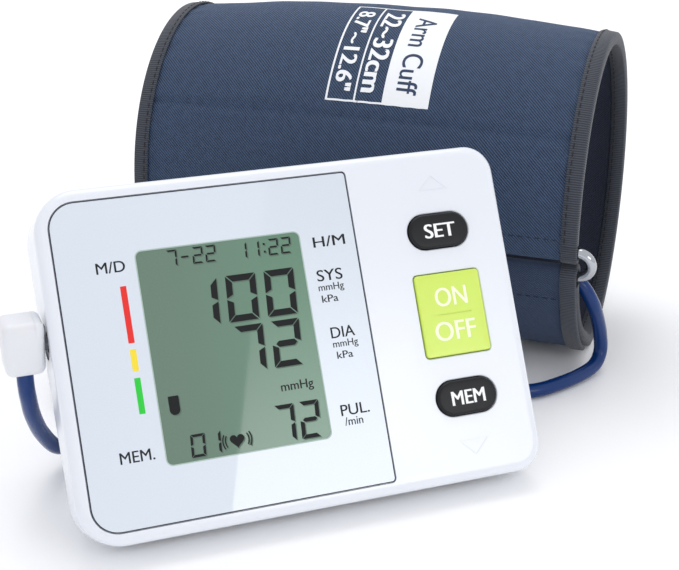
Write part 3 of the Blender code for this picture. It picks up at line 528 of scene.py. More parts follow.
def front_case():
    steps = 8
    area = (-FACE_HALF, FACE_HALF, 0.0, FACE_H)
    sections = [face_section(area, CORNERS, EDGE_R + HOLD, 0.0, 16)]
    for k in range(steps + 1):
        angle = k * pi / 2 / steps
        sections.append(face_section(area, CORNERS, EDGE_R * (1 - sin(angle)),
                                     EDGE_R * (1 - cos(angle)), 16))
    rim = outline(*area, CORNERS, 16)
    sections.append([(x, s, -parting_depth(s) - TRIM) for x, s in rim])
    case = loft("front_case", sections, FACE, WHITE, caps=(True, False))
    thicken(case, WALL)
    carve(case, parting_block(-GAP / 2, 60.0), FACE)
    posts = bmesh.new()
    for x, s in BOSSES:
        add_cylinder(posts, (x, s, -1.2), (x, s, 1.0 - parting_depth(s)), BOSS_R, 24)
    carve(case, posts, FACE, "UNION")
    pilots = bmesh.new()
    for x, s in BOSSES:
        add_cylinder(pilots, (x, s, -5.0), (x, s, -parting_depth(s)), 1.6, 20)
    for key in KEYS:
        area, radii = key_area(key)
        add_opening(pilots, grow(area, GAP), [r + GAP for r in radii], WALL + 2)
    add_opening(pilots, grow(WINDOW, GAP), [r + GAP for r in WINDOW_R], WINDOW_T + GAP, 0.06)
    carve(case, pilots, FACE)
    display = bmesh.new()
    add_loft(display, [face_section(grow(LCD, 1.2), (2.5,) * 4, 0.0, depth)
                       for depth in (0.5, WALL + 2)])
    carve(case, display, FACE)
    hole = bmesh.new()
    add_cylinder(hole, (-FACE_HALF - 5, SOCKET_Y, SOCKET_Z), (-FACE_HALF + 8, SOCKET_Y, SOCKET_Z),
                 SOCKET_R + GAP, 48)
    carve(case, hole, TABLE)
    wear(case, "monitor", ["front_housing"])
    raised_triangle("up_mark", 50.7, 95.0, 90.5)
    raised_triangle("down_mark", 50.2, 7.5, 12.4)


def raised_triangle(name, x, tip_s, base_s):
    """A thin raised outline moulded on the face above or below the keys."""
    half = 4.9

    def corners(scale):
        s_mid = base_s + (tip_s - base_s) / 3
        points = ((x - half, base_s), (x + half, base_s), (x, tip_s))
        return [(x + (px - x) * scale, s_mid + (ps - s_mid) * scale) for px, ps in points]

    outer, inner = corners(1.0), corners(0.86)
    builder = bmesh.new()
    profile = [[(*a, 0.16), (*a, -0.1), (*b, -0.1), (*b, 0.16)] for a, b in zip(outer, inner)]
    add_loft(builder, profile, ring=True)
    mark = make_piece(name, builder, FACE, WHITE)
    wear(mark, "monitor")


def rear_section(inset, forward):
    """An outline of the rear wall, drawn in by inset and moved towards the front."""
    head, foot = to_face(*REAR_HIGH), to_face(*REAR_LOW)
    middle = Vector(((foot[0] + head[0]) / 2, (foot[1] + head[1]) / 2))
    points = []
    for x, up in outline(-FACE_HALF, FACE_HALF, 0.0, FACE_H, CORNERS, 16):
        part = up / FACE_H
        side = REAR_INSET_LOW + (REAR_INSET_HIGH - REAR_INSET_LOW) * part
        spot = Vector(foot).lerp(Vector(head), part)
        spot = middle + (spot - middle) * (1 - 2 * inset / FACE_H)
        points.append((x * (FACE_HALF - side - inset) / FACE_HALF, spot.x - forward * cos(TILT),
                       forward * sin(TILT) - spot.y))
    return points


def rear_case():
    steps = 6
    sections = [rear_section(REAR_EDGE_R + HOLD, 0.0)]
    for k in range(steps + 1):
        angle = k * pi / 2 / steps
        sections.append(rear_section(REAR_EDGE_R * (1 - sin(angle)),
                                     REAR_EDGE_R * (1 - cos(angle))))
    rim = outline(-FACE_HALF, FACE_HALF, 0.0, FACE_H, CORNERS, 16)
    sections.append([(x, s, TRIM - parting_depth(s)) for x, s in rim])
    case = loft("rear_case", sections, FACE, REAR, caps=(True, False))
    thicken(case, REAR_WALL)
    carve(case, parting_block(GAP / 2, -60.0), FACE)
    low = bmesh.new()
    add_loft(low, [[(x, y, z) for x, y in ((-90, -5), (90, -5), (90, 90), (-90, 90))]
                   for z in (-20, BASE_Z)])
    carve(case, low, TABLE)
    openings = bmesh.new()
    mouth = [(x, y) for x, y in outline(BAY[0], BAY[1], BAY[2] - 0.2, BAY[3], (1.0,) * 4, 4)]
    add_loft(openings, [[(x, y, z) for x, y in mouth] for z in (BASE_Z - 3, 5.5)])
    for x, y in FEET:
        add_cylinder(openings, (x, y, BASE_Z - 1), (x, y, BASE_Z + 0.7), 3.5, 40)
    carve(case, openings, TABLE)
    columns, bores = bmesh.new(), bmesh.new()
    for x, s in BOSSES[:2]:
        start = parting_depth(s) - 1.0 + GAP
        add_cylinder(columns, (x, s, -start), (x, s, 1.9 - rear_depth(s)), BOSS_R, 32)
        add_cylinder(bores, (x, s, -start + 1), (x, s, -start - 3), 1.7, 24)
        add_cylinder(bores, (x, s, -start - 2.2), (x, s, -start - 14), 3.1, 32)
    carve(case, columns, FACE, "UNION")
    carve(case, bores, FACE)
    wear(case, "monitor", ["rear_housing"])


# ---- window, display and print -----------------------------------------------
def plate(name, outlines, depth0, depth1, look):
    """Thin flat shapes lying parallel to the face, from depth0 in to depth1."""
    builder = bmesh.new()
    for points in outlines:
        add_loft(builder, [[(x, s, -depth) for x, s in points] for depth in (depth0, depth1)])
    wear(make_piece(name, builder, FACE, look), "monitor")


def frame_plate(name, area, radii, width, depth0, depth1, look):
    """A thin ring following a round-cornered outline, inside it."""
    rings = []
    for depth, inset in ((depth0, 0.0), (depth1, 0.0), (depth1, width), (depth0, width)):
        rings.append(face_section(area, radii, inset, depth))
    builder = bmesh.new()
    add_loft(builder, rings, ring=True)
    wear(make_piece(name, builder, FACE, look), "monitor")


def window_panel():
    steps, edge = 3, 0.2
    sections = [face_section(WINDOW, WINDOW_R, edge + HOLD, 0.0, 16)]
    sections += [face_section(WINDOW, WINDOW_R, edge * (1 - sin(k * pi / 2 / steps)),
                              edge * (1 - cos(k * pi / 2 / steps)), 16) for k in range(steps + 1)]
    sections.append(face_section(WINDOW, WINDOW_R, 0.0, WINDOW_T, 16))
    panel = loft("window_panel", sections, FACE, SILVER)
    hole = bmesh.new()
    add_loft(hole, [face_section(LCD, LCD_R, 0.0, depth) for depth in (-1.0, 2.0)])
    carve(panel, hole, FACE)
    map_face(panel)
    wear(panel, "monitor", ["display_window"])
    # a thin dark line round the panel's edge, beside its gap to the case
    frame_plate("panel_edge_line", WINDOW, WINDOW_R, 0.25, -0.03, 0.25, EDGE_LINE_DARK)


def display_glass():
    sections = [face_section(LCD, LCD_R, 0.05, depth) for depth in (0.04, 1.2)]
    glass = loft("display_glass", sections, FACE, FILM)
    map_face(glass)
    wear(glass, "monitor")
    frame_plate("display_rim", grow(LCD, 0.2), [r + 0.2 for r in LCD_R], 0.35, -0.025, 0.03, RIM_INK)


SEGMENTS = {"0": "abcdef", "1": "bc", "2": "abdeg", "7": "abc", "-": "g"}


def segment_shapes(width, height, stroke):
    """The seven bars of a digit, mitred where they meet, as lists of corners."""
    w, h, t, m = width, height, stroke, height / 2
    g = 0.09 * stroke + 0.05                # gap between two bars
    half = t / 2
    return {"a": ((g, h), (w - g, h), (w - t - g, h - t), (t + g, h - t)),
            "b": ((w, h - g), (w, m + g), (w - t, m + half + g), (w - t, h - t - g)),
            "c": ((w, m - g), (w, g), (w - t, t + g), (w - t, m - half - g)),
            "d": ((g, 0), (w - g, 0), (w - t - g, t), (t + g, t)),
            "e": ((0, m - g), (0, g), (t, t + g), (t, m - half - g)),
            "f": ((0, h - g), (0, m + g), (t, m + half + g), (t, h - t - g)),
            "g": ((half + g, m), (t + g, m + half), (w - t - g, m + half), (w - half - g, m),
                  (w - t - g, m - half), (t + g, m - half))}


LEAN = 0.06                                 # how far the digits lean over
HEART_X, HEART_S = -23.6, 24.2
# text, right end, foot, width and height of a figure, pitch, stroke
FIGURES = (("22", -21.0, 77.0, 3.1, 4.9, 3.9, 0.5), ("7-", -28.8, 77.0, 3.1, 4.9, 3.9, 0.5),
           ("22", 2.2, 76.6, 3.1, 4.9, 3.9, 0.5), ("11", -7.6, 76.6, 3.1, 4.9, 3.9, 0.5),
           ("100", 1.6, 58.4, 9.2, 13.8, 11.9, 1.9), ("72", 0.8, 43.2, 8.8, 13.8, 11.3, 1.8),
           ("72", 2.6, 21.2, 6.0, 11.0, 7.7, 1.2), ("01", -28.2, 21.3, 4.3, 6.6, 4.7, 0.75))


def digits(text, right, low, width, height, pitch, stroke):
    """Seven-segment figures ending at right, with their foot at low."""
    bars = segment_shapes(width, height, stroke)
    shapes = []
    for place, figure in enumerate(reversed(text)):
        left = right - width - place * pitch
        for bar in SEGMENTS[figure]:
            shapes.append([(left + x + LEAN * (y - height), low + y) for x, y in bars[bar]])
    return shapes


def arc_band(cx, cy, radius, width, start, end, steps=8):
    """A curved stroke about a centre, between two angles in degrees."""
    angles = [radians(start + (end - start) * k / steps) for k in range(steps + 1)]
    outer = [(cx + radius * cos(a), cy + radius * sin(a)) for a in angles]
    inner = [(cx + (radius - width) * cos(a), cy + (radius - width) * sin(a)) for a in angles]
    return outer + inner[::-1]


def heart(cx, cy, size, steps=36):
    """The well-known heart curve, 32 units wide before it is scaled to its size."""
    points = []
    for k in range(steps):
        t = 2 * pi * k / steps
        x = 16 * sin(t) ** 3
        y = 13 * cos(t) - 5 * cos(2 * t) - 2 * cos(3 * t) - cos(4 * t)
        points.append((cx + x * size / 32, cy + y * size / 32))
    return points


def display_figures():
    """Date, time, two pressures, pulse, memory number, level mark and heart."""
    shapes = []
    for row in FIGURES:
        shapes += digits(*row)
    for low in (77.6, 79.9):
        shapes.append(outline(-6.5, -5.9, low, low + 0.6, (0.1,) * 4, 2))
    shapes.append(outline(-41.9, -38.8, 34.3, 39.8, (1.5, 1.5, 0.15, 0.15), 6))
    shapes.append(heart(HEART_X, HEART_S, 4.4))
    for side, start in ((-1, 150), (1, -30)):
        for radius in (3.5, 4.3):
            shapes.append(arc_band(HEART_X + side * 0.2, HEART_S, radius, 0.35, start, start + 60))
    plate("display_figures", shapes, -0.02, 0.06, LCD_INK)
    shadow = [[(x + 0.3, s - 0.35) for x, s in shape] for shape in shapes]
    plate("display_figure_shadows", shadow, 0.005, 0.07, LCD_SHADE)


INK_T = 0.05                                # thickness of printed letters


def letter_builder(text, weight):
    """Flat letters as a bmesh, with their box's low corner at 0, 0, and its size.
    A second copy lies a weight to the right and a hair lower, which makes them bolder."""
    letters = bpy.data.curves.new("letters", "FONT")
    letters.body = text
    letters.resolution_u = 6
    writer = bpy.data.objects.new("letters", letters)
    bpy.context.scene.collection.objects.link(writer)
    graph = bpy.context.evaluated_depsgraph_get()
    mesh = bpy.data.meshes.new_from_object(writer.evaluated_get(graph))
    bpy.data.objects.remove(writer, do_unlink=True)
    builder = bmesh.new()
    builder.from_mesh(mesh)
    copied = bmesh.ops.duplicate(builder, geom=list(builder.faces) + list(builder.edges)
                                 + list(builder.verts))
    shifted = [item for item in copied["geom"] if isinstance(item, bmesh.types.BMVert)]
    bmesh.ops.translate(builder, vec=(weight, 0, -0.01), verts=shifted)
    xs = [v.co.x for v in builder.verts]
    ys = [v.co.y for v in builder.verts]
    bmesh.ops.translate(builder, vec=(-min(xs), -min(ys), 0), verts=builder.verts)
    return builder, max(xs) - min(xs), max(ys) - min(ys)


def add_thickness(builder, depth):
    """Pull flat letters out into thin solids along -z."""
    bmesh.ops.remove_doubles(builder, verts=builder.verts, dist=0.0005)
    pulled = bmesh.ops.extrude_face_region(builder, geom=list(builder.faces))
    moved = [item for item in pulled["geom"] if isinstance(item, bmesh.types.BMVert)]
    bmesh.ops.translate(builder, vec=(0, 0, -depth), verts=moved)


def face_lettering(name, text, area, proud, look, body="monitor", weight=0.02):
    """Printed letters filling an area of the face."""
    builder, width, height = letter_builder(text, weight)
    x0, x1, s0, s1 = area
    bmesh.ops.scale(builder, vec=((x1 - x0) / width, (s1 - s0) / height, 1), verts=builder.verts)
    add_thickness(builder, INK_T)
    bmesh.ops.translate(builder, vec=(x0, s0, proud), verts=builder.verts)
    wear(make_piece(name, builder, FACE, look), body)


PANEL_WORDS = (("date_label", "M/D", (-56.8, -48.3, 77.4, 80.7)),
               ("time_label", "H/M", (9.1, 19.3, 77.1, 80.3)),
               ("upper_label", "SYS", (8.6, 16.7, 66.8, 70.2)),
               ("upper_unit_label", "mmHg", (8.5, 16.6, 63.2, 66.0)),
               ("upper_other_unit_label", "kPa", (9.0, 14.2, 60.3, 62.5)),
               ("lower_label", "DIA", (10.0, 17.6, 49.3, 52.6)),
               ("lower_unit_label", "mmHg", (10.1, 18.1, 45.8, 48.6)),
               ("lower_other_unit_label", "kPa", (10.8, 15.9, 43.0, 45.2)),
               ("pulse_label", "PUL.", (9.1, 18.2, 25.9, 29.2)),
               ("pulse_unit_label", "/min", (9.8, 15.6, 22.9, 25.4)),
               ("memory_label", "MEM.", (-58.2, -48.1, 22.8, 26.1)),
               ("display_unit", "mmHg", (-8.0, 2.1, 35.2, 38.7)))


def panel_print():
    for name, words, area in PANEL_WORDS:
        face_lettering(name, words, area, 0.025, PANEL_INK)
    for name, look, s0, s1 in (("high_bar", RED_INK, 56.6, 73.2),
                               ("raised_bar", YELLOW_INK, 48.5, 54.8),
                               ("normal_bar", GREEN_INK, 36.1, 46.5)):
        plate(name, [outline(-50.7, -48.9, s0, s1, (0.1,) * 4, 2)], -0.025, 0.05, look)


# ---- keys --------------------------------------------------------------------
FLANGE_OUT, FLANGE_T = 1.1, 1.2             # the rim that keeps a key behind its opening


def key_cap(name, key, proud, rounding, look, body):
    """A key: rounded top, straight sides and a closed underside with its flange."""
    area, radii = key_area(key)
    steps = 6
    sections = [face_section(area, radii, rounding + 1.6, -proud - 0.06, 14)]
    for k in range(steps + 1):
        angle = k * pi / 2 / steps
        sections.append(face_section(area, radii, rounding * (1 - sin(angle)),
                                     rounding * (1 - cos(angle)) - proud, 14))
    sections.append(face_section(area, radii, 0.0, WALL + 0.4, 14))
    for depth in (WALL + 0.5, WALL + 0.5 + FLANGE_T):
        sections.append(face_section(area, radii, -FLANGE_OUT, depth, 14))
    cap = loft(name, sections, FACE, look)
    stem = bmesh.new()
    add_cylinder(stem, (BUTTON_X, KEYS[key][0], -WALL), (BUTTON_X, KEYS[key][0], -5.1), 2.4, 24)
    carve(cap, stem, FACE, "UNION")
    return wear(cap, body, [f"{key}_button"])


def keys():
    key_cap("set_key_cap", "set", 0.94, 0.9, KEY_BLACK, "set_key")
    key_cap("memory_key_cap", "memory", 0.94, 0.9, KEY_BLACK, "memory_key")
    power = key_cap("power_key_cap", "power", 0.55, 0.45, KEY_LIME, "power_key")
    groove = bmesh.new()
    add_loft(groove, [[(x, s, z) for x, s in ((44.9, 51.2), (56.1, 51.2), (56.1, 51.6),
                                              (44.9, 51.6))] for z in (2.0, 0.35)])
    carve(power, groove, FACE)
    black_top, lime_top = 1.02, 0.63        # just proud of the two kinds of key
    face_lettering("set_word", "SET", (45.0, 55.4, 75.3, 79.7), black_top, WHITE_INK, "set_key",
                   weight=0.05)
    face_lettering("memory_word", "MEM", (44.6, 55.8, 23.3, 27.6), black_top, WHITE_INK,
                   "memory_key", weight=0.05)
    face_lettering("on_word", "ON", (44.9, 55.6, 53.9, 59.7), lime_top, PALE_INK, "power_key",
                   weight=0.03)
    face_lettering("off_word", "OFF", (43.2, 56.8, 43.3, 49.2), lime_top, PALE_INK, "power_key",
                   weight=0.03)


# ---- plug and hose -----------------------------------------------------------
HOSE_R = 2.5
COIL_X, COIL_Y, COIL_MID_R = -28.0, 112.0, 28.0
COIL_TURNS, COIL_LOW, COIL_RISE = 2.0, 2.7, 10.4
CUFF_ROUTE = ((111.7, 72.3, 40.2), (115.0, 69.2, 39.6), (119.2, 65.2, 37.0), (123.4, 64.0, 30.0),
              (127.7, 67.0, 22.0), (130.9, 69.6, 14.0), (131.6, 69.9, 7.6), (128.4, 67.6, 3.8),
              (121.9, 64.2, 2.8), (111.3, 60.0, 2.8), (98.0, 57.5, 2.8), (84.0, 62.0, 2.8),
              (66.0, 72.0, 2.8), (46.0, 78.5, 2.8), (26.0, 82.0, 2.8), (7.6, 85.6, 2.8),
              (-7.4, 85.6, 2.8))
PLUG_ROUTE = ((-79.3, 37.8, 48.4), (-79.2, 38.3, 44.0), (-78.6, 40.6, 38.5), (-77.0, 46.2, 29.5),
              (-73.6, 54.6, 18.8), (-68.0, 63.0, 9.0), (-60.0, 69.6, 6.6), (-50.4, 77.6, 9.0),
              (-49.0, 83.4, 12.0))


def smooth_route(points, steps=8):
    """Points on a smooth curve through the route's own points."""
    points = [Vector(p) for p in points]
    ends = [points[0] * 2 - points[1]] + points + [points[-1] * 2 - points[-2]]
    dense = []
    for a, b, c, d in zip(ends, ends[1:], ends[2:], ends[3:]):
        for k in range(steps):
            u = k / steps
            dense.append(0.5 * (2 * b + (c - a) * u + (2 * a - 5 * b + 4 * c - d) * u ** 2
                                + (3 * b - a - 3 * c + d) * u ** 3))
    dense.append(points[-1])
    return dense


def coil_points(per_turn=16):
    """Turns seen from above running clockwise, each lying on the one below."""
    points = []
    count = int(COIL_TURNS * per_turn)
    for k in range(1, count):
        part = k / count
        angle = -pi / 2 - 2 * pi * COIL_TURNS * part
        points.append((COIL_X + COIL_MID_R * cos(angle), COIL_Y + COIL_MID_R * sin(angle),
                       COIL_LOW + COIL_RISE * part))
    return points


def tube(name, points, radius, place, look, cyclic=False):
    """A round wire or tube, with filled ends unless it closes on itself."""
    curve = bpy.data.curves.new(name, "CURVE")
    curve.dimensions = "3D"
    curve.bevel_depth = radius * MM
    curve.bevel_resolution = 8
    curve.use_fill_caps = not cyclic
    spline = curve.splines.new("POLY")
    spline.points.add(len(points) - 1)
    for slot, point in zip(spline.points, points):
        slot.co = (*(place @ Vector(point)), 1)
    spline.use_smooth = True
    spline.use_cyclic_u = cyclic
    curve.materials.append(look)
    made = bpy.data.objects.new(name, curve)
    bpy.context.scene.collection.objects.link(made)
    return made


def air_hose():
    """The whole hose, from the cuff through its coil to the plug."""
    route = list(CUFF_ROUTE) + coil_points() + list(reversed(PLUG_ROUTE))
    hose = tube("air_hose", smooth_route(route), HOSE_R, TABLE, HOSE_BLUE)
    return wear(hose, "cuff", ["hose_cuff_end", "hose_plug_end", "hose_coil"])


def air_plug():
    """The elbow plug: a soft square block with a moulding seam and a bored seat for the nozzle."""
    x0, x1, middle_x = -85.4, -73.2, -79.3
    y0, y1 = SOCKET_Y - 6, SOCKET_Y + 6
    z0, z1 = 48.8, 65.2
    narrowing = 0.93
    builder = bmesh.new()
    bmesh.ops.create_cube(builder, size=1.0)
    bmesh.ops.scale(builder, vec=(x1 - x0, y1 - y0, z1 - z0), verts=builder.verts)
    bmesh.ops.translate(builder, vec=((x0 + x1) / 2, (y0 + y1) / 2, (z0 + z1) / 2),
                        verts=builder.verts)
    for corner in builder.verts:            # the block narrows a little towards the hose
        if corner.co.z < 55:
            corner.co.x = middle_x + (corner.co.x - middle_x) * narrowing
            corner.co.y = SOCKET_Y + (corner.co.y - SOCKET_Y) * narrowing
    body = make_piece("air_plug", builder, TABLE, PLUG_WHITE)
    bevel = body.modifiers.new("round", "BEVEL")
    bevel.width = 2.3 * MM
    bevel.segments = 6
    settle(body)
    seat = bmesh.new()
    add_cylinder(seat, (x1 - 4.6, SOCKET_Y, SOCKET_Z), (x1 + 3, SOCKET_Y, SOCKET_Z), 2.5, 32)
    carve(body, seat, TABLE)
    seam = bmesh.new()
    rim = outline(y0 - 1, y1 + 1, z0 - 1, z1 + 1, (2.0,) * 4, 3)
    inner = outline(y0 + 0.15, y1 - 0.15, z0 + 0.15, z1 - 0.15, (2.2,) * 4, 3)
    cut_x = x1 - 2.9
    add_loft(seam, [[(cut_x, y, z) for y, z in rim], [(cut_x + 0.3, y, z) for y, z in rim],
                    [(cut_x + 0.3, y, z) for y, z in inner], [(cut_x, y, z) for y, z in inner]],
             ring=True)
    carve(body, seam, TABLE)
    return wear(body, "cuff", ["plug_body"])


def hose_boot():
    """The moulded port on the cuff: a rounded pad and a taper over the hose."""
    low, high = Vector((58.0, -36.2, 37.0)), Vector((72.4, -31.8, 43.4))
    sections = []
    for x, inset in ((low.x, 1.6), (low.x + 0.6, 0.5), (low.x + 2.0, 0.0), (high.x - 1.2, 0.0),
                     (high.x - 0.4, 0.4), (high.x, 1.2)):
        points = outline(low.y + inset, high.y - inset, low.z + inset, high.z - inset,
                         (max(0.3, 1.8 - inset),) * 4, 6)
        sections.append([(x, y, z) for y, z in points])
    boot = loft("hose_boot", sections, CUFF, BOOT_RUBBER)
    wear(boot, "cuff", ["hose_port"])


RELIEF_SIDES = 28


def hose_relief():
    """A tapered sleeve on the hose where it leaves the port."""
    path = [TABLE @ Vector(p) for p in smooth_route(CUFF_ROUTE[:5], 10)]
    sections = []
    reach, travelled = 9.0 * MM, 0.0
    for here, there in zip(path, path[1:]):
        along = (there - here).normalized()
        side = along.orthogonal().normalized()
        other = along.cross(side)
        part = min(1.0, travelled / reach)
        radius = (3.7 - 0.95 * part - (0.25 if int(part * 10) % 2 else 0.0)) * MM
        sections.append([here + (side * cos(a) + other * sin(a)) * radius
                         for a in [2 * pi * k / RELIEF_SIDES for k in range(RELIEF_SIDES)]])
        travelled += (there - here).length
        if part == 1.0:
            break
    relief = loft("hose_relief", sections, Matrix.Identity(4), HOSE_BLUE)
    return wear(relief, "cuff")


# ---- cuff --------------------------------------------------------------------
def smooth_step(value, low, high):
    """Rise softly from 0 at low to 1 at high."""
    t = min(1.0, max(0.0, (value - low) / (high - low)))
    return t * t * (3 - 2 * t)


def lap(degrees):
    """How far in the wrap lies, because the tail lies over its end."""
    return LAP_SHIFT * smooth_step(-degrees, 93.0, 111.0)


def pad_depth(x):
    """How far the bladder fills the sleeve out, less near the ends."""
    return 3.1 * smooth_step(CUFF_HALF - abs(x), 8.0, 22.0)


def bar_circle(angle_of_bar, radius, start, end, steps):
    """Points round one of the loop's bars, as (y, z), between two angles in degrees."""
    centre = cuff_point(angle_of_bar, 0, RING_INSET)
    angles = [radians(start + (end - start) * k / steps) for k in range(steps + 1)]
    return [Vector((0, centre.y + radius * cos(a), centre.z + radius * sin(a))) for a in angles]


def spread_angles(start, end, count):
    """Even steps from start to end, both included."""
    return [start + (end - start) * k / (count - 1) for k in range(count)]


def fabric(name, rows, look, thickness, uv_start=0.0, inward=1):
    """A sheet through rows of points along the wrap, mapped in millimetres, with a thickness.
    Each row holds the points across the sleeve, and the sheet thickens inward, which is
    inward=1 for rows that run down the back of the sleeve and -1 for the other way."""
    builder = bmesh.new()
    layer = builder.loops.layers.uv.new("mm")
    middle = len(rows[0]) // 2
    along = [uv_start]
    for a, b in zip(rows, rows[1:]):
        along.append(along[-1] + (b[middle] - a[middle]).length)
    verts = [[builder.verts.new(p) for p in row] for row in rows]
    for i, (a, b) in enumerate(zip(verts, verts[1:])):
        for j in range(len(a) - 1):
            face = builder.faces.new((a[j], b[j], b[j + 1], a[j + 1]))
            corners = ((i, j), (i + 1, j), (i + 1, j + 1), (i, j + 1))
            for loop, (r, c) in zip(face.loops, corners):
                loop[layer].uv = (along[r], rows[r][c].x + CUFF_HALF)
    bmesh.ops.transform(builder, matrix=CUFF, verts=builder.verts)
    mesh = bpy.data.meshes.new(name)
    builder.to_mesh(mesh)
    builder.free()
    mesh.shade_smooth()
    mesh.materials.append(look)
    made = bpy.data.objects.new(name, mesh)
    bpy.context.scene.collection.objects.link(made)
    solid = made.modifiers.new("cloth thickness", "SOLIDIFY")
    solid.thickness = thickness * MM
    solid.offset = inward
    settle(made)
    facing = bmesh.new()
    facing.from_mesh(made.data)
    bmesh.ops.recalc_face_normals(facing, faces=facing.faces)
    facing.to_mesh(made.data)
    facing.free()
    quarter = len(rows[0]) // 4             # between the tight ends and the full middle
    length = sum((b[quarter] - a[quarter]).length for a, b in zip(rows, rows[1:]))
    return made, (2 * CUFF_HALF * MM, length * MM)


SEAM_ANGLE = 146.5                          # the sewn line across the front of the sleeve
PLACES = [CUFF_HALF * (k / 41 - 1) for k in range(83)]


def outer_relief(degrees, x):
    """How far the outer fabric lies in: seam groove, puckers and soft rumples."""
    arc = radians(degrees - SEAM_ANGLE) * 57.0
    groove = 0.8 * exp(-(arc / 1.0) ** 2)
    pucker = 0.28 * exp(-(arc / 7.0) ** 2) * sin(x * 1.15 + 0.6 * sin(x * 0.23))
    edge = CUFF_HALF - abs(x)
    rim = 0.2 * exp(-((edge - 5.0) / 5.0) ** 2) * sin(degrees * 0.61 + 2.0 * sin(degrees * 0.07))
    spot = Vector((x * 0.028, degrees * 0.022, 0.0))
    rumple = 0.3 * noise.noise(spot) + 0.2 * noise.noise(spot * 2.7 + Vector((5, 2, 1)))
    calm = smooth_step(edge, 0.0, 14.0)
    return groove + pucker * calm + rim + rumple * calm


def outer_fabric():
    """Twill wrapped round the sleeve, its near end turned round the loop's upper bar."""
    rows = []
    for spot in bar_circle(HEM_ANGLE, HEM_ROLL_R, 25, -175, 16):
        rows.append([Vector((x, spot.y, spot.z)) for x in PLACES])
    for angle in spread_angles(WRAP_START, WRAP_END, 190):
        rows.append([cuff_point(angle, x, 0.2 + lap(angle) + max(-0.15, outer_relief(angle, x)
                     * smooth_step(WRAP_START - angle, 0.0, 6.0))) for x in PLACES])
    cloth, flat = fabric("cuff_cloth", rows, NAVY, CLOTH_T)
    wear(cloth, "cuff", ["cuff_outer_fabric", "cuff_hem"])


def inner_fabric():
    """The lining, padded out by the bladder, with a sewn channel beside each end."""
    rows = []
    for angle in spread_angles(WRAP_START, WRAP_END, 130):
        row = []
        for x in PLACES:
            edge = CUFF_HALF - abs(x)
            channel = 0.5 * exp(-((edge - 13.0) / 0.9) ** 2)
            ripple = 0.35 * noise.noise(Vector((x * 0.05, angle * 0.06, 3.0)))
            row.append(cuff_point(angle, x, 2.4 + lap(angle) + pad_depth(x) - channel
                                  + ripple * smooth_step(edge, 4.0, 20.0)))
        rows.append(row)
    lining, flat = fabric("cuff_lining", rows, LINING, LINING_T)
    wear(lining, "cuff", ["cuff_inner_fabric"])


def tail_strap():
    """The strap through the loop: round the lower bar and down the front, sewn at its end."""
    rows = []
    for spot in bar_circle(TAIL_ANGLE, STRAP_ROLL_R, -25, 180, 16):
        rows.append([Vector((x, spot.y, spot.z)) for x in PLACES])
    for angle in spread_angles(TAIL_START - 0.5, TAIL_END, 30):
        row = []
        for x in PLACES:
            spot = Vector((x * 0.03, angle * 0.05, 7.0))
            calm = smooth_step(angle, 203, 210) * smooth_step(CUFF_HALF - abs(x), 4.0, 16.0)
            row.append(cuff_point(angle, x, 0.25 + 0.35 * noise.noise(spot) * calm))
        rows.append(row)
    strap, flat = fabric("cuff_strap", rows, STRAP, CLOTH_T, 400.0, -1)
    wear(strap, "cuff", ["cuff_tail"])


TAPE_W = 5.0


def tape_profile(width, outside, inside):
    """A folded tape in section, as (inset, place past the edge), closed."""
    edge, tape = CUFF_HALF + GAP, 0.8
    deep = (inside - outside) / 2
    middle = (inside + outside) / 2
    points = [(outside + 0.25, edge - width), (outside, edge - width + 0.5)]
    for k in range(7):
        angle = pi * k / 6
        points.append((middle - deep * cos(angle), edge + 0.1 + (tape - 0.1) * sin(angle)))
    points += [(inside, edge - width + 0.5), (inside - 0.25, edge - width)]
    points += [(inside - tape, edge - width + 0.1), (inside - tape, edge - 0.1),
               (outside + tape, edge - 0.1), (outside + tape, edge - width + 0.1)]
    return points


def on_wrap(angle):
    """Where the wrap's points lie at an angle, as a function of place and inset."""
    return lambda x, inset: cuff_point(angle, x, inset + lap(angle))


def on_strap(angle):
    """The same for the strap, which lies over everything else."""
    return lambda x, inset: cuff_point(angle, x, inset)


def on_bar(bar_angle, radius, degrees):
    """Where cloth rolled round one of the loop's bars lies."""
    centre = cuff_point(bar_angle, 0, RING_INSET)
    angle = radians(degrees)
    return lambda x, inset: Vector((x, centre.y + (radius - inset) * cos(angle),
                                    centre.z + (radius - inset) * sin(angle)))


def tape(name, side, stops, profile, nodes=()):
    """Ribbed tape folded over one end of the cloth, mapped along its length."""
    builder = bmesh.new()
    layer = builder.loops.layers.uv.new("mm")
    rows, along = [], [0.0]
    for stop in stops:
        rows.append([stop(side * x, inset) for inset, x in profile])
        if len(rows) > 1:
            along.append(along[-1] + (rows[-1][0] - rows[-2][0]).length)
    verts = [[builder.verts.new(p) for p in row] for row in rows]
    size = len(profile)
    for i, (a, b) in enumerate(zip(verts, verts[1:])):
        for j in range(size):
            k = (j + 1) % size
            face = builder.faces.new((a[j], a[k], b[k], b[j]))
            for loop, (r, c) in zip(face.loops, ((i, j), (i, j + 1), (i + 1, j + 1), (i + 1, j))):
                loop[layer].uv = (along[r], c * 1.2)
    builder.faces.new(verts[0])
    builder.faces.new(verts[-1])
    made = make_piece(name, builder, CUFF, TAPE, 60)
    return wear(made, "cuff", nodes)


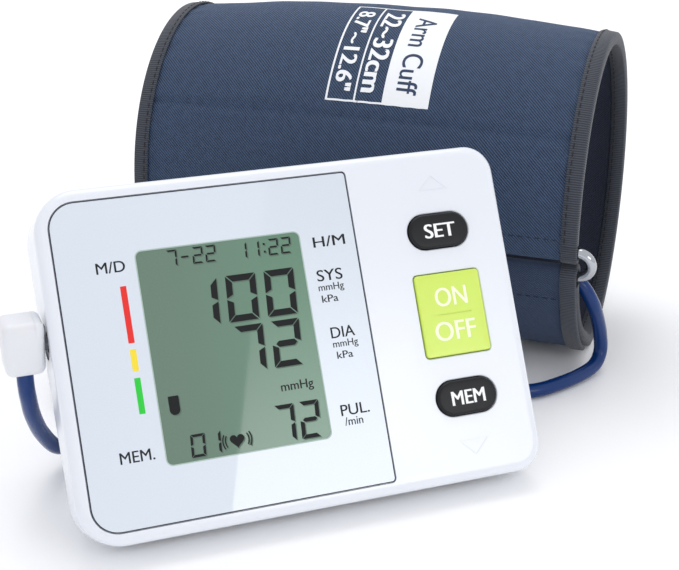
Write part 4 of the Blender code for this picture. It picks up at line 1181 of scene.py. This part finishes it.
def bindings():
    """Tape along both ends of the wrap, round the rolled hem, and along the strap."""
    wrap = [on_wrap(a) for a in spread_angles(WRAP_START, WRAP_END, 200)]
    hem = [on_bar(HEM_ANGLE, HEM_ROLL_R, a) for a in spread_angles(20, -176, 24)]
    hem += [on_wrap(a) for a in (185.6, 184.2, WRAP_START)]
    strap = [on_bar(TAIL_ANGLE, STRAP_ROLL_R, a) for a in spread_angles(-20, 176, 24)]
    strap += [on_strap(a) for a in spread_angles(TAIL_START, TAIL_END, 36)]
    for name, side in (("left", -1), ("right", 1)):
        tape(f"end_tape_{name}", side, wrap, tape_profile(TAPE_W, -0.9, 3.6),
             [f"cuff_binding_{name}"])
        tape(f"hem_tape_{name}", side, hem, tape_profile(TAPE_W, -0.7, 0.8))
        tape(f"strap_tape_{name}", side, strap, tape_profile(TAPE_W, -0.75, 1.1))


STITCH_FILL = 0.68                          # share of a step that its stitch takes up
STITCH_SIZES = ((0.0, 0.35), (0.18, 0.9), (0.5, 1.1), (0.82, 0.9), (1.0, 0.35))


def stitches(name, spots, look, radius=0.22):
    """Thread showing along a seam: one short rounded stitch for each step between spots.
    Each spot is a point on the cloth and the direction out of it."""
    builder = bmesh.new()
    for (a, out_a), (b, out_b) in zip(spots, spots[1:]):
        start, end = a.lerp(b, (1 - STITCH_FILL) / 2), b.lerp(a, (1 - STITCH_FILL) / 2)
        along = (end - start).normalized()
        out = (out_a + out_b).normalized()
        side = along.cross(out).normalized()
        sections = []
        for part, size in STITCH_SIZES:
            centre = start.lerp(end, part)
            sections.append([centre + (side * cos(t) + out * sin(t)) * radius * size
                             for t in [2 * pi * k / 6 for k in range(6)]])
        add_loft(builder, sections)
    wear(make_piece(name, builder, CUFF, look, 80), "cuff")


def round_run(side, edge_in, inset, start, end, step_mm):
    """Spots round the sleeve at a place near one end."""
    x = side * (CUFF_HALF - edge_in)
    count = max(2, int(abs(end - start) * pi / 180 * 56 / step_mm))
    spots = []
    for angle in spread_angles(start, end, count):
        here = cuff_point(angle, x, inset + lap(angle))
        deeper = cuff_point(angle, x, inset + 1 + lap(angle))
        spots.append((here, (here - deeper).normalized()))
    return spots


def cross_run(angle, inset_of, x0, x1, step_mm):
    """Spots across the sleeve at one angle."""
    count = int((x1 - x0) / step_mm)
    spots = []
    for k in range(count + 1):
        x = x0 + (x1 - x0) * k / count
        here = cuff_point(angle, x, inset_of(x))
        deeper = cuff_point(angle, x, inset_of(x) + 1)
        spots.append((here, (here - deeper).normalized()))
    return spots


def sewing():
    """The seams across the sleeve, and those along its two ends."""
    reach = CUFF_HALF - 5.5
    first, last = WRAP_START - 0.5, -150
    stitches("front_seam_stitches",
             cross_run(SEAM_ANGLE, lambda x: 0.3 + outer_relief(SEAM_ANGLE, x), -reach, reach, 1.7),
             THREAD, 0.17)
    stitches("hem_stitches", cross_run(181.5, lambda x: 0.2, -reach, reach, 3.0), THREAD)
    stitches("strap_stitches", cross_run(205.5, lambda x: 0.2, -reach, reach, 3.0), THREAD)
    stitches("strap_end_stitches", cross_run(244.0, lambda x: 0.42, -reach, reach, 3.0), THREAD)
    for name, side in (("left", -1), ("right", 1)):
        stitches(f"tape_stitches_{name}", round_run(side, 3.4, -0.95, first, last, 2.8),
                 DARK_THREAD)
        stitches(f"tape_inner_stitches_{name}", round_run(side, 3.4, 3.65, first, last, 2.8),
                 DARK_THREAD)
        stitches(f"lining_stitches_{name}", round_run(side, 13.0, 2.4, 178, -150, 3.0), DARK_THREAD)


# ---- size mark printed on the cuff -------------------------------------------
MARK_X, MARK_FROM, MARK_TO = -10.7, 93.5, 142.0
MARK_R = 60.5                               # radius of the sleeve where the mark is
MARK_T = 0.06


def on_cloth(u, v, out):
    """A point of the print: u mm down the front, v mm along the sleeve, out mm above it."""
    angle = MARK_FROM + u / MARK_R * 180 / pi
    x = MARK_X + v
    return cuff_point(angle, x, 0.2 + max(-0.15, outer_relief(angle, x)) - out)


def wrap_print(name, builder, out, look):
    """Bend a flat print onto the sleeve after slicing it finely enough to follow it."""
    us = [v.co.x for v in builder.verts]
    vs = [v.co.y for v in builder.verts]
    step = 1.5
    for axis, low, high in ((0, min(us), max(us)), (1, min(vs), max(vs))):
        cuts = int((high - low) / step)
        for k in range(1, cuts + 1):
            spot = Vector((0, 0, 0))
            spot[axis] = low + k * step
            normal = Vector((0, 0, 0))
            normal[axis] = 1
            bmesh.ops.bisect_plane(builder, geom=list(builder.verts) + list(builder.edges)
                                   + list(builder.faces), plane_co=spot, plane_no=normal)
    layer = builder.loops.layers.uv.new("mm")
    for face in builder.faces:
        for loop in face.loops:
            loop[layer].uv = (loop.vert.co.x, loop.vert.co.y)
    for vert in builder.verts:
        vert.co = on_cloth(vert.co.x, vert.co.y, out - vert.co.z)
    wear(make_piece(name, builder, CUFF, look), "cuff")


def print_blocks(*areas):
    """Flat rectangles of print, each as u0, u1, v0, v1."""
    builder = bmesh.new()
    for u0, u1, v0, v1 in areas:
        add_loft(builder, [[(u, v, z) for u, v in ((u0, v0), (u1, v0), (u1, v1), (u0, v1))]
                           for z in (0.0, MARK_T)])
    return builder


def print_words(text, u0, u1, v0, v1, weight):
    """Letters whose tops point along the sleeve and that read down the front."""
    builder, width, height = letter_builder(text, weight)
    bmesh.ops.scale(builder, vec=((u1 - u0) / width, (v1 - v0) / height, 1), verts=builder.verts)
    add_thickness(builder, -INK_T)
    bmesh.ops.translate(builder, vec=(u0, v0, 0), verts=builder.verts)
    return builder


def size_mark():
    """The size mark: a solid block with its title, and two lined boxes of numbers."""
    length = radians(MARK_TO - MARK_FROM) * MARK_R
    top, split, middle, line = 37.7, 20.9, 10.7, 0.7
    wrap_print("mark_block", print_blocks((0, length, split, top)), 0.1, WHITE_PRINT)
    wrap_print("mark_title", print_words("Arm Cuff", 8.0, length - 4.5, 25.2, 32.6, 0.02), 0.15,
               NAVY_PRINT)
    lines = print_blocks((0, length, 0, line), (0, length, middle - 0.3, middle + 0.3),
                         (0, line, 0, split), (length - line, length, 0, split))
    wrap_print("mark_lines", lines, 0.1, WHITE_PRINT)
    wrap_print("mark_centimetres", print_words("22~32cm", 5.0, length - 4.0, 12.4, 19.6, 0.07), 0.1,
               WHITE_PRINT)
    wrap_print("mark_inches", print_words("8.7\"~12.6\"", 5.5, length - 4.0, 2.3, 8.6, 0.06), 0.1,
               WHITE_PRINT)


# ---- loop --------------------------------------------------------------------
LOOP_R, LOOP_PAST = 1.9, 0.8                # wire radius, and how far its bars pass the cloth


def metal_loop():
    """The plated loop: two straight bars joined by half-round bends past the cuff's ends."""
    top = cuff_point(HEM_ANGLE, 0, RING_INSET)
    across = cuff_point(TAIL_ANGLE, 0, RING_INSET) - top
    reach = CUFF_HALF + LOOP_PAST
    bend = across.length / 2
    points = []
    for side in (1, -1):
        for k in range(17):
            angle = pi * k / 16
            down = across * (0.5 - side * 0.5 * cos(angle))
            points.append(top + down + Vector((side * (reach + bend * sin(angle)), 0, 0)))
        turn = points[-1]
        points += [turn + Vector((-side * 2 * reach * k / 12, 0, 0)) for k in range(1, 12)]
    loop = tube("metal_loop", points, LOOP_R, CUFF, CHROME, cyclic=True)
    wear(loop, "cuff_loop", ["cuff_ring"])


# ---- underside ---------------------------------------------------------------
def door_grip():
    """Ribs on the battery door for a thumb."""
    builder = bmesh.new()
    for k in range(5):
        y = 46.0 + 1.6 * k
        add_loft(builder, [[(x, y + dy, z) for dy, z in ((-0.35, 2.05), (0.35, 2.05), (0.2, 1.75),
                                                        (-0.2, 1.75))] for x in (-9, 9)])
    ribs = make_piece("door_grip", builder, TABLE, REAR)
    wear(ribs, "battery_cover")


# ---- carried-over nodes ------------------------------------------------------
def finish_nodes():
    """Give every node that still shows the material of the real piece."""
    steel = metal("pressed_steel", "B9BCC2", 0.35, 0.6)
    plated = metal("nickel_plated_spring_strip", "C9C7BE", 0.25, 0.3)
    black = moulded("black_nylon_moulding", "1F2124", "2A2C30", 0.42, 0.5, 0.2)
    rubber = moulded("moulded_rubber", "2B2C2F", "323338", 0.75, 0.4, 0.4)
    silicone = moulded("clear_silicone_tube", "D9DEE2", "CFD6DC", 0.3, 1.0, 0.05,
                       Subsurface_Weight=0.3, Subsurface_Scale=0.002)
    sleeve = moulded("shrink_film_sleeve", "2F5C8C", "28507C", 0.35, 2.0, 0.1, Coat_Weight=0.4)
    bladder = moulded("polyurethane_film", "6C7684", "616B79", 0.45, 3.0, 0.3)
    grey = moulded("grey_socket_abs", "9EA3AA", "8E939B", 0.4, 0.4, 0.2)
    inner = moulded("natural_abs_moulding", "E4E8EE", "DCE1E8", 0.45, 0.4, 0.2)
    board = solder_mask()
    groups = {steel: ("case_screw", "board_screw", "pump_motor", "pump_rotor", "exhaust_valve",
                      "valve_plunger"),
              plated: ("battery_contact",),
              black: ("set_switch", "power_switch", "memory_switch", "microcontroller", "buzzer",
                      "pump_head", "pump_cap"),
              rubber: ("foot", "lcd_contact_strip", "pump_diaphragm", "nozzle_seal"),
              silicone: ("tube_to",), bladder: ("cuff_bladder",), grey: ("air_socket", "plug_nozzle"),
              inner: ("lcd_holder", "battery_tray", "pressure_sensor", "air_manifold"),
              sleeve: ("battery_1", "battery_2", "battery_3", "battery_4"),
              board: ("main_board",), REAR: ("battery_door",), FILM: ("lcd_module",)}
    for look, starts in groups.items():
        for name, node in frame["nodes"].items():
            if name.startswith(starts) and not node.hide_render:
                for slot in node.material_slots:
                    slot.material = look
    map_face(bpy.data.objects["lcd_module"])


# ---- floor and light ---------------------------------------------------------
PAPER_HALF = 6000


def studio():
    """A white sweep in even white light, with a softbox and one lamp overhead."""
    scene = bpy.context.scene
    scene.view_settings.view_transform = "Standard"
    builder = bmesh.new()
    bmesh.ops.create_grid(builder, x_segments=1, y_segments=1, size=PAPER_HALF)
    paper = start_material("matt_white_paper", "FFFFFF", 0.9, Specular_IOR_Level=0.2)[0]
    sweep = make_piece("sweep", builder, Matrix.Scale(MM, 4), paper)
    world = bpy.data.worlds.new("studio")
    world.use_nodes = True
    sky = world.node_tree.nodes["Background"]
    sky.inputs["Color"].default_value = srgb("FAFBFF")
    sky.inputs["Strength"].default_value = 0.9
    scene.world = world
    softbox()
    lamp = bpy.data.lights.new("top_light", "AREA")
    lamp.shape, lamp.size, lamp.energy = "DISK", 1.2, 7.0
    top = bpy.data.objects.new("top_light", lamp)
    top.location = (0.1, 0.5, 1.4)
    top.rotation_euler = (-top.location).to_track_quat("-Z", "Y").to_euler()
    top.visible_camera = False
    scene.collection.objects.link(top)


SOFTBOX_AWAY = 0.95                         # metres from the window to the softbox
SOFTBOX_LEFT, SOFTBOX_SLOPE, SOFTBOX_WIDE = -29.5, 0.278, 110.0     # as mirrored in the window


def mirrored_spot(x, s):
    """Where the camera sees the studio when it looks at a point of the window."""
    seen = FACE @ Vector((x, s, 0.0))
    view = (seen - bpy.context.scene.camera.location).normalized()
    return seen + (view - 2 * view.dot(inward) * inward) * SOFTBOX_AWAY


def softbox():
    """A lit screen whose straight left edge shows in the window; it fades towards its top."""
    low, high, rows = -40.0, 100.0, 14
    builder = bmesh.new()
    layer = builder.loops.layers.uv.new("mm")
    verts = []
    for k in range(rows + 1):
        s = low + (high - low) * k / rows
        left = SOFTBOX_LEFT + SOFTBOX_SLOPE * s
        verts.append([builder.verts.new(mirrored_spot(x, s)) for x in (left, left + SOFTBOX_WIDE)])
    for k, (a, b) in enumerate(zip(verts, verts[1:])):
        face = builder.faces.new((a[0], a[1], b[1], b[0]))
        for loop, (u, v) in zip(face.loops, ((0, k), (1, k), (1, k + 1), (0, k + 1))):
            loop[layer].uv = (u, v / rows)
    lit = bpy.data.materials.new("softbox_cloth")
    lit.use_nodes = True
    tree = lit.node_tree
    tree.nodes.clear()
    place = add(tree, "ShaderNodeUVMap", uv_map="mm")
    up = add(tree, "ShaderNodeSeparateXYZ", {"Vector": place.outputs["UV"]})
    fade = add(tree, "ShaderNodeMapRange", {"Value": up.outputs["Y"], "From Min": 0.25,
                                            "From Max": 0.95, "To Min": 5.0, "To Max": 0.3},
               interpolation_type="SMOOTHSTEP")
    glow = add(tree, "ShaderNodeEmission", {"Strength": fade.outputs["Result"]})
    add(tree, "ShaderNodeOutputMaterial", {"Surface": glow.outputs["Emission"]})
    screen = make_piece("softbox", builder, Matrix.Identity(4), lit)
    screen.visible_camera = False


# ---- assembly ----------------------------------------------------------------
WHITE, REAR = glossy_white_abs(), textured_rear_abs()
SILVER, FILM = silver_back_print(), polariser_film()
EDGE_LINE_DARK, RIM_INK = ink("dark_panel_edge_line", "23282F"), ink("pale_rim_ink", "A9BDB3")
LCD_INK, LCD_SHADE = ink("display_black", "0E1112", 0.6), ink("display_figure_shade", "5A6F62", 0.6)
PANEL_INK = ink("grey_black_panel_ink", "15181C")
RED_INK, YELLOW_INK = ink("red_ink", "E8302A"), ink("yellow_ink", "F7DE3A")
GREEN_INK = ink("green_ink", "2ECC40")
WHITE_INK, PALE_INK = ink("white_key_ink", "F6F7F8"), ink("pale_key_ink", "F8FBDD")
KEY_BLACK, KEY_LIME = black_key_abs(), lime_key_plastic()
PLUG_WHITE, HOSE_BLUE = white_plug_plastic(), blue_pvc_hose()
BOOT_RUBBER = moulded("dark_boot_rubber", "1C2740", "202C48", 0.5, 0.4, 0.2)
NAVY = woven_nylon("navy_nylon_twill", "122034", "435A7A", 0.8, 0.2)
# painted shade: the strap's nylon is a finer, slightly darker copy of the sleeve's, darker partly as
# the shade low on the cuff and partly as a different strap fabric
STRAP = woven_nylon("finer_strap_nylon_with_painted_shade", "1C2A3E", "3A4C69", 0.6, 0.3)
LINING = woven_nylon("dark_nylon_lining", "151A29", "262D42", 0.7, 0.15)
TAPE, THREAD = grosgrain_tape(), sewing_thread()
DARK_THREAD = moulded("dark_sewing_thread", "17181C", "202228", 0.7, 0.3, 0.3)
WHITE_PRINT = ink("white_print_on_cloth", "F2F4F6", 0.7)
NAVY_PRINT = ink("navy_print_on_cloth", "33425E", 0.7)
CHROME = chromed_steel()

aim_camera()
hose = air_hose()
plug = air_plug()
relief = hose_relief()
front_case()
rear_case()
window_panel()
display_glass()
display_figures()
panel_print()
keys()
hose_boot()
outer_fabric()
inner_fabric()
tail_strap()
bindings()
sewing()
size_mark()
metal_loop()
door_grip()
finish_nodes()
studio()
